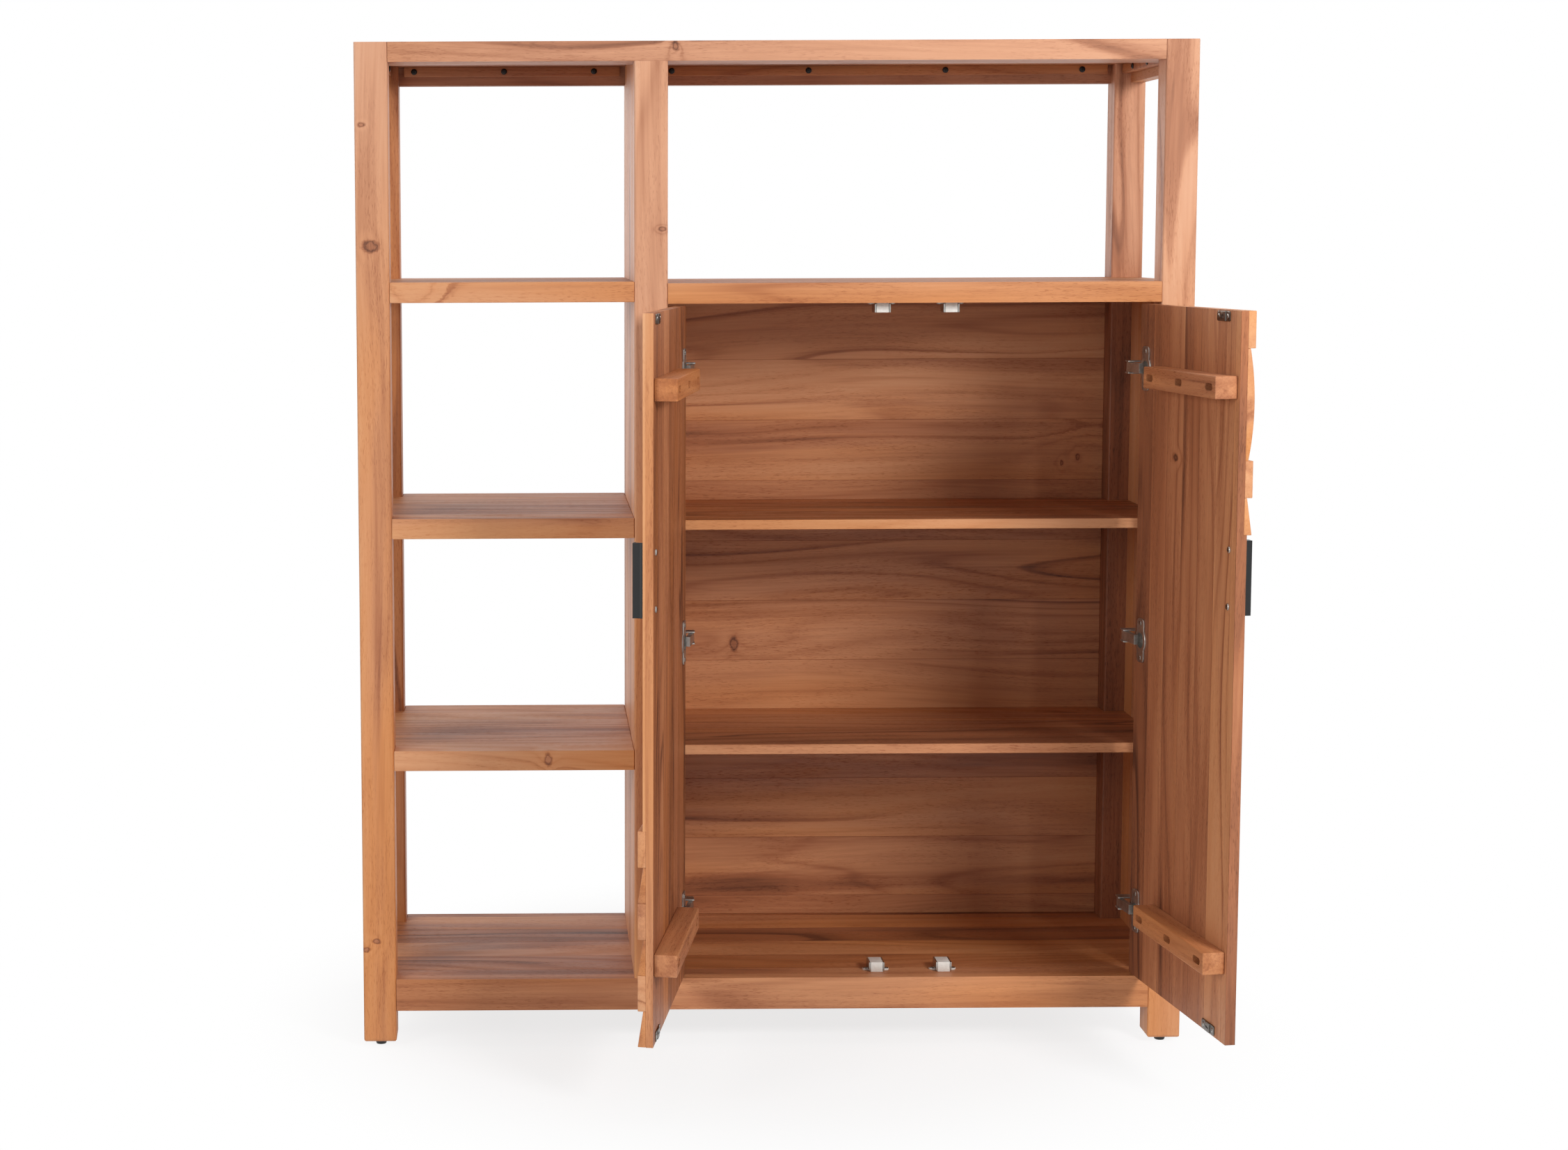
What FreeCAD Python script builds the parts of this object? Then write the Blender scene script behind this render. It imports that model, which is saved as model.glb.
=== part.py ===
import FreeCAD, Part
import os
import re

# Driving sizes of the highboard, in millimetres and degrees
SIZES = {
    # Overall carcass
    "width": 1150,
    "height": 1400,
    "depth": 350,
    "post": 46,
    "post_round": 3,
    "foot_round": 5,
    "left_bay": 335,
    "side_inset": 2,
    "divider": 18,
    # Feet
    "glide_height": 8,
    "glide_top_radius": 9,
    "glide_foot_radius": 7,
    # Bottom frame
    "base_top": 98,
    "base_rail": 45,
    "base_panel": 18,
    "rear_rail": 20,
    # Shelves
    "shelf": 28,
    "cabinet_drop": 2.5,
    "inner_shelf": 14,
    "inner_shelf_setback": 60,
    "inner_shelf_drop": 10,
    # Top frame
    "top_rail": 27,
    "top_rail_depth": 80,
    "side_rail": 20,
    "apron": 41,
    "top_panel": 14,
    "cleat": 14,
    "cleat_end_gap": 8,
    "cleat_screw_start": 15,
    "cleat_screw_end": 38,
    # Cabinet panels
    "side_panel": 13,
    "back_panel": 10,
    # Dowels and screws
    "dowel_radius": 4,
    "dowel_length": 40,
    "dowel_spacing": 14,
    "bore_clearance": 0.1,
    "screw_radius": 2,
    "screw_bite": 9,
    "pan_head_radius": 4.5,
    "pan_head_height": 2.4,
    "small_head_radius": 3.2,
    "small_head_height": 1.2,
    "small_screw_radius": 1.6,
    # Doors
    "door_gap": 3,
    "door_setback": 1.5,
    "door_board": 13.5,
    "axis_in": 6,
    "axis_behind": 4.5,
    "left_open_angle": 100.6,
    "right_open_angle": 97.8,
    # Relief blocks let into the outer faces
    "relief_proud": 6.5,
    "relief_let_in": 4,
    "relief_row": 47,
    "wedge_thin": 3.5,
    # Battens on the inner faces
    "batten_height": 29,
    "batten_depth": 30,
    "batten_start": 88,
    "batten_end_gap": 6,
    "upper_batten_inset": 96,
    "lower_batten_inset": 106,
    "batten_slot_length": 23,
    "batten_slot_width": 9.5,
    "batten_slot_depth": 15,
    "batten_slot_inset": 21,
    # Handles
    "handle_length": 96,
    "handle_height": 15.5,
    "handle_fin": 7.5,
    "handle_round": 5.5,
    "handle_base": 1.2,
    "handle_lip": 3,
    "handle_hook": 4.5,
    "handle_screw_spacing": 73,
    "handle_edge": 22,
    "handle_rise": 601,
    "handle_relief_gap": 9,
    # Concealed hinges
    "upper_hinge_inset": 88,
    "lower_hinge_inset": 94,
    "middle_hinge_rise": 6,
    "cup_edge": 22.5,
    "cup_radius": 17.5,
    "cup_depth": 10.8,
    "cup_wall": 1.2,
    "flange": 2,
    "flange_height": 61,
    "flange_width": 24,
    "flange_screw_spacing": 48,
    "hinge_room": 2.5,
    "arm_depth": 18,
    "arm_height": 18,
    "arm_cheek": 2,
    "arm_web": 15.7,
    "arm_end": 4,
    "hinge_plate": 2,
    "hinge_plate_height": 44,
    "hinge_plate_screw_spacing": 32,
    "link_seat": 0.4,
    "pin_radius": 2,
    "pin_clearance": 0.05,
    "link_length": 43,
    "link_end": 4,
    "link_thickness": 6,
    "link_clearance": 0.3,
    # Magnetic catches and their strikes
    "catch_width": 18,
    "catch_height": 14,
    "catch_depth": 28,
    "catch_pole": 2,
    "catch_pole_proud": 0.4,
    "catch_ear": 2,
    "catch_ear_width": 10,
    "catch_ear_span": 38,
    "catch_screw_spacing": 30,
    "catch_room": 0.6,
    "left_strike_edge": 39,
    "right_strike_edge": 53,
    "strike_length": 40,
    "strike_height": 13,
    "strike_plate": 1.4,
    "strike_raise": 1,
    "strike_raise_length": 15,
    "strike_screw_spacing": 28,
    "strike_inset": 1.5,
}

# Places worked out from the driving sizes
DERIVED = {
    "front": "-depth / 2",
    "back": "depth / 2",
    "right_in": "width / 2 - post",
    "left_in": "post - width / 2",
    "side_out": "width / 2 - side_inset",
    "frame_in": "side_out - side_rail",
    "panel_in": "side_out - side_panel",
    "middle_left": "left_in + left_bay",
    "middle_right": "middle_left + post",
    "divider_right": "middle_left + divider",
    "front_post_back": "front + post",
    "rear_post_front": "back - post",
    "rear_rail_front": "back - rear_rail",
    "back_panel_front": "back - back_panel",
    "base_low": "base_top - base_rail",
    "base_panel_low": "base_top - base_panel",
    "bay_pitch": "(height - base_top) / 4",
    "cabinet_top": "base_top + 3 * bay_pitch - cabinet_drop",
    "cabinet_ceiling": "cabinet_top - shelf",
    "top_rail_low": "height - top_rail",
    "apron_low": "height - apron",
    "top_panel_low": "height - top_panel",
    "cleat_low": "top_panel_low - cleat",
    "top_rail_back": "front + top_rail_depth",
    "bore_radius": "screw_radius + bore_clearance",
    "small_bore_radius": "small_screw_radius + bore_clearance",
    "door_thick": "door_board + relief_proud",
    "door_width": "(right_in - middle_right - 3 * door_gap) / 2",
    "door_low": "base_top + door_gap",
    "door_height": "cabinet_ceiling - base_top - 2 * door_gap",
    "door_face": "front + door_setback",
    "axis_y": "door_face + axis_behind",
    "relief_column": "door_width / 5",
    "relief_depth": "relief_proud + relief_let_in",
    "upper_relief_row": "(door_height - handle_rise - handle_length / 2 - handle_relief_gap) / 6",
    "arm_front": "door_face + door_thick + flange + hinge_room",
    "arm_back": "arm_front + arm_depth",
    "pin_y": "arm_front + arm_depth / 2",
    "pin_behind": "pin_y - axis_y",
    "link_rise": "door_thick + flange + link_seat + link_thickness / 2 - axis_behind",
    "left_pin_off": "(link_rise - pin_behind * cos(left_open_angle)) / sin(left_open_angle)",
    "right_pin_off": "(link_rise - pin_behind * cos(right_open_angle)) / sin(right_open_angle)",
    "left_pin_reach": "door_gap + axis_in + left_pin_off",
    "right_pin_reach": "door_gap + axis_in + right_pin_off",
    "link_height": "arm_height - 2 * arm_cheek - 2 * link_clearance",
    "catch_front": "door_face + door_thick + strike_plate + strike_raise + catch_room",
    "catch_screw_y": "catch_front + catch_depth / 2",
}

# Each door's side: where it hangs, the vertical it opens about and the way towards its free edge
SIDES = {
    "left": {"face": "middle_right", "inward": 1, "turn": -1},
    "right": {"face": "right_in", "inward": -1, "turn": 1},
}

# Hinge centres and batten centres, measured up from the door's lower edge
HINGE_HEIGHTS = [
    "lower_hinge_inset",
    "door_height / 2 + middle_hinge_rise",
    "door_height - upper_hinge_inset",
]
BATTEN_HEIGHTS = {
    "lower": "lower_batten_inset",
    "upper": "door_height - upper_batten_inset",
}

# Relief blocks as (first row, rows, first column, columns, form), columns counted from the free edge.
# The left door's rows count up from its lower edge, the right door's down from its upper edge.
RELIEF = {
    "left": [
        (0, 1, 0, 2, "wedge"),
        (0, 1, 2, 2, "flat"),
        (1, 1, 0, 1, "flat"),
        (1, 1, 1, 2, "wedge"),
        (2, 1, 0, 2, "wedge"),
        (2, 1, 2, 1, "flat"),
        (3, 1, 0, 1, "flat"),
        (3, 1, 1, 1, "wedge"),
        (4, 1, 0, 2, "wedge"),
        (5, 1, 0, 1, "flat"),
    ],
    "right": [
        (0, 1, 0, 3, "flat"),
        (0, 1, 3, 1, "wedge"),
        (1, 3, 0, 2, "bulge"),
        (1, 1, 2, 1, "wedge"),
        (2, 1, 2, 2, "flat"),
        (3, 1, 2, 1, "wedge"),
        (4, 1, 0, 1, "flat"),
        (4, 1, 1, 2, "wedge"),
        (5, 1, 0, 2, "wedge"),
    ],
}

UP = FreeCAD.Vector(0, 0, 1)
AXIS_TURNS = {
    "x": FreeCAD.Rotation(FreeCAD.Vector(0, 1, 0), 90),
    "y": FreeCAD.Rotation(FreeCAD.Vector(1, 0, 0), -90),
    "z": FreeCAD.Rotation(),
}

doc = FreeCAD.newDocument("highboard")
sheet = doc.addObject("Spreadsheet::Sheet", "dims")
for row, (alias, value) in enumerate(SIZES.items(), start=1):
    sheet.set(f"A{row}", alias)
    sheet.set(f"B{row}", str(value))
    sheet.setAlias(f"B{row}", alias)
doc.recompute()

nodes = {}
bores = {}


def formula(text):
    """Spell out derived places and point the driving sizes at the sheet."""
    def spell(match):
        word = match.group()
        if word in SIZES:
            return f"dims.{word}"
        if word in DERIVED:
            return f"({formula(DERIVED[word])})"
        return word
    return re.sub(r"[a-z][a-z_]+", spell, text)


def bind(obj, formulas):
    for path, text in formulas.items():
        obj.setExpression(path, formula(str(text)))


def move(obj, x, y, z):
    bind(obj, {"Placement.Base.x": x, "Placement.Base.y": y, "Placement.Base.z": z})


def box(name, x, y, z):
    """A block between the low and high formulas of each direction."""
    obj = doc.addObject("Part::Box", name)
    bind(obj, {
        "Length": f"({x[1]}) - ({x[0]})",
        "Width": f"({y[1]}) - ({y[0]})",
        "Height": f"({z[1]}) - ({z[0]})",
    })
    move(obj, x[0], y[0], z[0])
    return obj


def rod(name, axis, start, radius, length):
    """A round bar that runs from start along the positive axis."""
    obj = doc.addObject("Part::Cylinder", name)
    obj.Placement = FreeCAD.Placement(FreeCAD.Vector(), AXIS_TURNS[axis])
    bind(obj, {"Radius": radius, "Height": length})
    move(obj, *start)
    return obj


def group(name, members):
    obj = doc.addObject("Part::Compound", name)
    obj.Links = members
    return obj


def fuse(name, members):
    obj = doc.addObject("Part::MultiFuse", name)
    obj.Shapes = members
    return obj


def cut(name, base, tools):
    obj = doc.addObject("Part::Cut", name)
    obj.Base = base
    obj.Tool = tools[0] if len(tools) == 1 else group(f"{name}_tools", tools)
    return obj


def keep(label, obj):
    """Name a finished sub-part; its bores are cut once all of them are known."""
    nodes[label] = obj
    bores[label] = []


def around(centre, size):
    return (f"({centre}) - ({size}) / 2", f"({centre}) + ({size}) / 2")


def eased_block(name, x, y, z, chosen, radius):
    """A block whose chosen edges are rounded."""
    body = doc.addObject("PartDesign::Body", f"{name}_body")
    block = body.newObject("PartDesign::AdditiveBox", f"{name}_block")
    bind(block, {
        "Length": f"({x[1]}) - ({x[0]})",
        "Width": f"({y[1]}) - ({y[0]})",
        "Height": f"({z[1]}) - ({z[0]})",
    })
    doc.recompute()
    edges = [f"Edge{n}" for n, edge in enumerate(block.Shape.Edges, start=1) if chosen(edge)]
    easing = body.newObject("PartDesign::Fillet", f"{name}_easing")
    easing.Base = (block, edges)
    bind(easing, {"Radius": radius})
    move(body, x[0], y[0], z[0])
    return body


def direction(edge):
    return edge.tangentAt(edge.FirstParameter)


def is_upright(edge):
    return abs(direction(edge).z) > 0.99


def is_lower_crosswise(edge):
    return abs(direction(edge).x) > 0.99 and edge.CenterOfMass.z < 1


def is_lower_lengthwise(edge):
    return abs(direction(edge).y) > 0.99 and edge.CenterOfMass.z < 1


def rounded_post(name, x, y, z, foot):
    """A post with eased long edges, and a rounder lower end where it is a leg."""
    post = eased_block(name, x, y, z, is_upright, "post_round")
    if not foot:
        return post
    crosswise = eased_block(f"{name}_crosswise", x, y, z, is_lower_crosswise, "foot_round")
    lengthwise = eased_block(f"{name}_lengthwise", x, y, z, is_lower_lengthwise, "foot_round")
    leg = doc.addObject("Part::MultiCommon", f"{name}_leg")
    leg.Shapes = [post, crosswise, lengthwise]
    return leg


def make_posts():
    across = {
        "left": ("-width / 2", "left_in"),
        "middle": ("middle_left", "middle_right"),
        "right": ("right_in", "width / 2"),
    }
    along = {"front": ("front", "front_post_back"), "rear": ("rear_post_front", "back")}
    middle_top = {"front": "top_rail_low", "rear": "apron_low"}
    for row, y in along.items():
        for column, x in across.items():
            leg = column != "middle"
            z = ("glide_height", "height") if leg else ("base_top", middle_top[row])
            keep(f"{row}_{column}_post", rounded_post(f"{row}_{column}_post", x, y, z, leg))
            if leg:
                glide = doc.addObject("Part::Cone", f"{row}_{column}_glide")
                bind(glide, {
                    "Radius1": "glide_foot_radius",
                    "Radius2": "glide_top_radius",
                    "Height": "glide_height",
                })
                move(glide, f"({x[0]} + {x[1]}) / 2", f"({y[0]} + {y[1]}) / 2", "0")
                keep(f"{row}_{column}_glide", glide)


def post_notch(name, column, row):
    """The space of one post, for boards that are notched round it."""
    x = {
        "left": ("-width / 2", "left_in"),
        "middle": ("middle_left", "middle_right"),
        "right": ("right_in", "width / 2"),
    }[column]
    y = {"front": ("front", "front_post_back"), "rear": ("rear_post_front", "back")}[row]
    return box(f"{name}_{row}_{column}_notch", x, y, ("0", "height"))


def notched_board(label, x, y, z, posts):
    board = box(f"{label}_board", x, y, z)
    notches = [post_notch(label, column, row) for column, row in posts]
    keep(label, cut(label, board, notches))


def make_shelves():
    for number, level in ((1, "lower"), (2, "middle"), (3, "upper")):
        top = f"base_top + {number} * bay_pitch"
        notched_board(
            f"left_{level}_shelf", ("-side_out", "middle_left"), ("front", "back"),
            (f"{top} - shelf", top), [("left", "front"), ("left", "rear")])
    notched_board(
        "cabinet_top_shelf", ("divider_right", "side_out"), ("front", "back"),
        ("cabinet_ceiling", "cabinet_top"),
        [("middle", "front"), ("middle", "rear"), ("right", "front"), ("right", "rear")])
    for number, level in ((1, "lower"), (2, "upper")):
        top = f"base_top + {number} * bay_pitch - inner_shelf_drop * {number} / 2"
        notched_board(
            f"cabinet_{level}_shelf", ("divider_right", "panel_in"),
            ("front + inner_shelf_setback", "back_panel_front"),
            (f"{top} - inner_shelf", top), [("middle", "rear"), ("right", "rear")])


def make_frames_and_panels():
    notched_board(
        "bottom_panel", ("-side_out", "side_out"), ("front_post_back", "back"),
        ("base_panel_low", "base_top"), [("left", "rear"), ("right", "rear")])
    keep("bottom_front_rail", box(
        "bottom_front_rail", ("left_in", "right_in"), ("front", "front_post_back"), ("base_low", "base_top")))
    keep("bottom_rear_rail", box(
        "bottom_rear_rail", ("left_in", "right_in"), ("rear_rail_front", "back"),
        ("base_low", "base_panel_low")))
    notched_board(
        "top_front_rail", ("-frame_in", "frame_in"), ("front", "top_rail_back"),
        ("top_rail_low", "height"), [("left", "front"), ("right", "front")])
    notched_board(
        "top_panel", ("-frame_in", "frame_in"), ("top_rail_back", "rear_rail_front"),
        ("top_panel_low", "height"), [("left", "rear"), ("right", "rear")])
    keep("top_rear_rail", box(
        "top_rear_rail", ("left_in", "right_in"), ("rear_rail_front", "back"), ("apron_low", "height")))
    between_posts = ("front_post_back", "rear_post_front")
    for side, x in (("left", ("-side_out", "-frame_in")), ("right", ("frame_in", "side_out"))):
        keep(f"bottom_{side}_rail", box(
            f"bottom_{side}_rail", x, between_posts, ("base_low", "base_panel_low")))
        keep(f"top_{side}_rail", box(f"top_{side}_rail", x, between_posts, ("apron_low", "height")))
    divider_board = box(
        "middle_divider_board", ("middle_left", "divider_right"), between_posts,
        ("base_top", "top_panel_low"))
    rail_space = box(
        "middle_divider_rail_space", ("middle_left", "divider_right"), ("front", "top_rail_back"),
        ("top_rail_low", "height"))
    keep("middle_divider", cut("middle_divider", divider_board, [rail_space]))
    keep("right_side_panel", box(
        "right_side_panel", ("panel_in", "side_out"), between_posts, ("base_top", "cabinet_ceiling")))
    keep("back_panel", box(
        "back_panel", ("middle_right", "right_in"), ("back_panel_front", "back"),
        ("base_top", "cabinet_ceiling")))


def dowel_pair(dowels, axis, place, height, pieces):
    """Two dowels across the joint at place, and the bore for each in both pieces."""
    for step in (-1, 1):
        centre_z = f"({height}) + {step} * dowel_spacing / 2"
        shift = {"x": ("dowel_length / 2", "0"), "y": ("0", "dowel_length / 2")}[axis]
        start = (f"({place[0]}) - {shift[0]}", f"({place[1]}) - {shift[1]}", centre_z)
        slack = {"x": ("bore_clearance", "0"), "y": ("0", "bore_clearance")}[axis]
        bore_start = (f"{start[0]} - {slack[0]}", f"{start[1]} - {slack[1]}", centre_z)
        number = len(dowels) + 1
        dowels.append(rod(f"dowel_{number}", axis, start, "dowel_radius", "dowel_length"))
        for piece in pieces:
            bores[piece].append(rod(
                f"{piece}_dowel_bore_{number}", axis, bore_start,
                "dowel_radius + bore_clearance", "dowel_length + 2 * bore_clearance"))


def make_dowels():
    dowels = []
    ends = {"left": "left_in", "right": "right_in"}
    rows = {"front": "front + post / 2", "rear": "back - rear_rail / 2"}
    heights = {
        "bottom_front_rail": "(base_low + base_top) / 2",
        "bottom_rear_rail": "(base_low + base_panel_low) / 2",
        "top_front_rail": "(top_rail_low + height) / 2",
        "top_rear_rail": "(apron_low + height) / 2",
    }
    for rail, height in heights.items():
        row = rail.split("_")[1]
        for side, x in ends.items():
            dowel_pair(dowels, "x", (x, rows[row]), height, [rail, f"{row}_{side}_post"])
    faces = {"front": "front_post_back", "rear": "rear_post_front"}
    side_heights = {"bottom": "(base_low + base_panel_low) / 2", "top": "(apron_low + height) / 2"}
    for level, height in side_heights.items():
        for side, sign in (("left", "-"), ("right", "")):
            x = f"{sign}(frame_in + side_out) / 2"
            for row, y in faces.items():
                dowel_pair(dowels, "y", (x, y), height, [f"{level}_{side}_rail", f"{row}_{side}_post"])
    keep("rail_dowels", group("rail_dowels", dowels))


def make_cleats():
    """Strips that carry the top panel, screwed to the inner faces of the top rails."""
    z = ("cleat_low", "top_panel_low")
    rear_y = ("rear_rail_front - cleat", "rear_rail_front")
    side_y = ("top_rail_back + cleat_end_gap / 2", "rear_post_front - cleat_end_gap / 2")
    spans = {
        "rear_left": ("left_in + cleat_end_gap", "middle_left - cleat_end_gap", 3),
        "rear_right": ("middle_right + cleat_end_gap", "right_in - cleat_end_gap", 4),
    }
    screw_z = "cleat_low + cleat / 2"
    screw_length = "cleat + screw_bite"
    screws = []
    cleats = []

    def add_screw(cleat, rail, axis, start, head_start, bore_start):
        number = len(screws) + 1
        shank = rod(f"cleat_shank_{number}", axis, start, "screw_radius", screw_length)
        head = rod(f"cleat_head_{number}", axis, head_start, "pan_head_radius", "pan_head_height")
        screws.append(fuse(f"cleat_screw_{number}", [shank, head]))
        length = f"{screw_length} + bore_clearance"
        bore = rod(f"cleat_bore_{number}", axis, bore_start, "bore_radius", length)
        rail_bore = rod(f"cleat_rail_bore_{number}", axis, bore_start, "bore_radius", length)
        bores[rail].append(rail_bore)
        return bore

    for name, (low, high, count) in spans.items():
        strip = box(f"{name}_strip", (low, high), rear_y, z)
        strip_bores = []
        for number in range(count):
            first, last = f"({low}) + cleat_screw_start", f"({high}) - cleat_screw_end"
            x = f"{first} + (({last}) - ({first})) * {number} / {count - 1}"
            strip_bores.append(add_screw(
                name, "top_rear_rail", "y", (x, rear_y[0], screw_z),
                (x, f"{rear_y[0]} - pan_head_height", screw_z), (x, rear_y[0], screw_z)))
        cleats.append(cut(f"{name}_cleat", strip, strip_bores))
    for side, sign in (("left", -1), ("right", 1)):
        inner = f"{sign} * (frame_in - cleat)"
        x = (inner, f"{sign} * frame_in") if sign > 0 else (f"{sign} * frame_in", inner)
        strip = box(f"side_{side}_strip", x, side_y, z)
        strip_bores = []
        for share in (0.3, 0.7):
            y = f"({side_y[0]}) + (({side_y[1]}) - ({side_y[0]})) * {share}"
            start = inner if sign > 0 else f"{inner} - ({screw_length})"
            head_start = f"{inner} - pan_head_height" if sign > 0 else inner
            bore_start = start if sign > 0 else f"{start} - bore_clearance"
            strip_bores.append(add_screw(
                side, f"top_{side}_rail", "x", (start, y, screw_z),
                (head_start, y, screw_z), (bore_start, y, screw_z)))
        cleats.append(cut(f"side_{side}_cleat", strip, strip_bores))
    keep("top_cleats", group("top_cleats", cleats))
    keep("cleat_screws", group("cleat_screws", screws))


def make_hinge_halves(side):
    """Mounting plates, cranked arms and pins on the post, at the three hinge heights."""
    face = SIDES[side]["face"]
    inward = SIDES[side]["inward"]
    post = {"left": "front_middle_post", "right": "front_right_post"}[side]

    def reach(low, high):
        near = f"{face} + {inward} * ({low})"
        far = f"{face} + {inward} * ({high})"
        return (near, far) if inward > 0 else (far, near)

    arms = []
    plates = []
    pins = []
    screws = []
    y = ("arm_front", "arm_back")
    pin_reach = f"{side}_pin_reach"
    pin_x = f"{face} + {inward} * {pin_reach}"
    for number, height in enumerate(HINGE_HEIGHTS):
        name = f"{side}_hinge_{number}"
        centre = f"door_low + {height}"
        z = around(centre, "arm_height")
        arm_block = box(f"{name}_arm_block", reach("hinge_plate", f"{pin_reach} + arm_end"), y, z)
        slot_z = around(centre, "arm_height - 2 * arm_cheek")
        slot = box(
            f"{name}_arm_slot", reach("hinge_plate + arm_web", f"{pin_reach} + arm_end"), y, slot_z)
        pin_hole = rod(
            f"{name}_pin_hole", "z", (pin_x, "pin_y", z[0]), "pin_radius + pin_clearance", "arm_height")
        arms.append(cut(f"{name}_arm", arm_block, [fuse(f"{name}_arm_space", [slot, pin_hole])]))
        pins.append(rod(f"{name}_pin", "z", (pin_x, "pin_y", z[0]), "pin_radius", "arm_height"))
        plate_z = around(centre, "hinge_plate_height")
        plate = box(f"{name}_plate_block", reach("0", "hinge_plate"), y, plate_z)
        plate_bores = []
        for step in (-1, 1):
            screw_z = f"{centre} + {step} * hinge_plate_screw_spacing / 2"
            shank_x = reach("-screw_bite", "hinge_plate")[0]
            head_x = reach("hinge_plate", "hinge_plate + small_head_height")[0]
            length = "hinge_plate + screw_bite"
            label = f"{name}_plate_screw_{step + 1}"
            shank = rod(f"{label}_shank", "x", (shank_x, "pin_y", screw_z), "small_screw_radius", length)
            head = rod(
                f"{label}_head", "x", (head_x, "pin_y", screw_z), "small_head_radius", "small_head_height")
            screws.append(fuse(label, [shank, head]))
            bore_x = reach("-screw_bite - bore_clearance", "hinge_plate")[0]
            bore_length = f"{length} + bore_clearance"
            plate_bores.append(rod(
                f"{label}_bore", "x", (bore_x, "pin_y", screw_z), "small_bore_radius", bore_length))
            bores[post].append(rod(
                f"{label}_post_bore", "x", (bore_x, "pin_y", screw_z), "small_bore_radius", bore_length))
        plates.append(cut(f"{name}_plate", plate, plate_bores))
    keep(f"{side}_hinge_arms", group(f"{side}_hinge_arms", arms))
    return plates, pins, screws


def make_catches():
    """Magnetic catches under the cabinet top and on the bottom, one pair for each door."""
    housings = []
    poles = []
    screws = []
    places = {
        "left": "middle_right + door_gap + door_width - left_strike_edge",
        "right": "right_in - door_gap - door_width + right_strike_edge",
    }
    levels = {
        "upper": ("cabinet_ceiling", -1, "cabinet_top_shelf"),
        "lower": ("base_top", 1, "bottom_front_rail"),
    }

    def rise(level, low, high):
        seat, way, carrier = levels[level]
        pair = (f"{seat} + {way} * ({low})", f"{seat} + {way} * ({high})")
        return pair if way > 0 else (pair[1], pair[0])

    for side, x in places.items():
        for level in levels:
            name = f"{side}_{level}_catch"
            carrier = levels[level][2]
            magnet = box(
                f"{name}_magnet", around(x, "catch_width"), ("catch_front", "catch_front + catch_depth"),
                rise(level, "0", "catch_height"))
            ears = box(
                f"{name}_ears", around(x, "catch_ear_span"), around("catch_screw_y", "catch_ear_width"),
                rise(level, "0", "catch_ear"))
            ear_bores = []
            for step in (-1, 1):
                screw_x = f"{x} + {step} * catch_screw_spacing / 2"
                label = f"{name}_screw_{step + 1}"
                shank_z = rise(level, "-screw_bite", "catch_ear")[0]
                head_z = rise(level, "catch_ear", "catch_ear + small_head_height")[0]
                bore_z = rise(level, "-screw_bite - bore_clearance", "catch_ear")[0]
                length = "screw_bite + catch_ear"
                shank = rod(
                    f"{label}_shank", "z", (screw_x, "catch_screw_y", shank_z), "small_screw_radius", length)
                head = rod(
                    f"{label}_head", "z", (screw_x, "catch_screw_y", head_z),
                    "small_head_radius", "small_head_height")
                screws.append(fuse(label, [shank, head]))
                bore_start = (screw_x, "catch_screw_y", bore_z)
                bore_length = f"{length} + bore_clearance"
                ear_bores.append(rod(f"{label}_bore", "z", bore_start, "small_bore_radius", bore_length))
                bores[carrier].append(rod(
                    f"{label}_wood_bore", "z", bore_start, "small_bore_radius", bore_length))
                pole_x = {
                    -1: (f"{x} - catch_width / 2 - catch_pole", f"{x} - catch_width / 2"),
                    1: (f"{x} + catch_width / 2", f"{x} + catch_width / 2 + catch_pole"),
                }[step]
                poles.append(box(
                    f"{name}_pole_{step + 1}", pole_x,
                    ("catch_front - catch_pole_proud", "catch_front + catch_depth"),
                    rise(level, "catch_ear", "catch_height")))
            housing = fuse(f"{name}_blank", [magnet, ears])
            housings.append(cut(f"{name}_housing", housing, ear_bores))
    keep("catch_housings", group("catch_housings", housings))
    keep("catch_poles", group("catch_poles", poles))
    return screws


def swing(label, obj, side, z="door_low", x=None, y="axis_y"):
    """Hang a piece drawn about its closed axis on that axis, turned open."""
    face = SIDES[side]["face"]
    inward = SIDES[side]["inward"]
    axis_x = x or f"{face} + {inward} * (door_gap + axis_in)"
    obj.Placement = FreeCAD.Placement(FreeCAD.Vector(), FreeCAD.Rotation(UP * SIDES[side]["turn"], 90))
    move(obj, axis_x, y, z)
    bind(obj, {"Placement.Rotation.Angle": f"{side}_open_angle"})
    nodes[label] = obj


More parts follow.
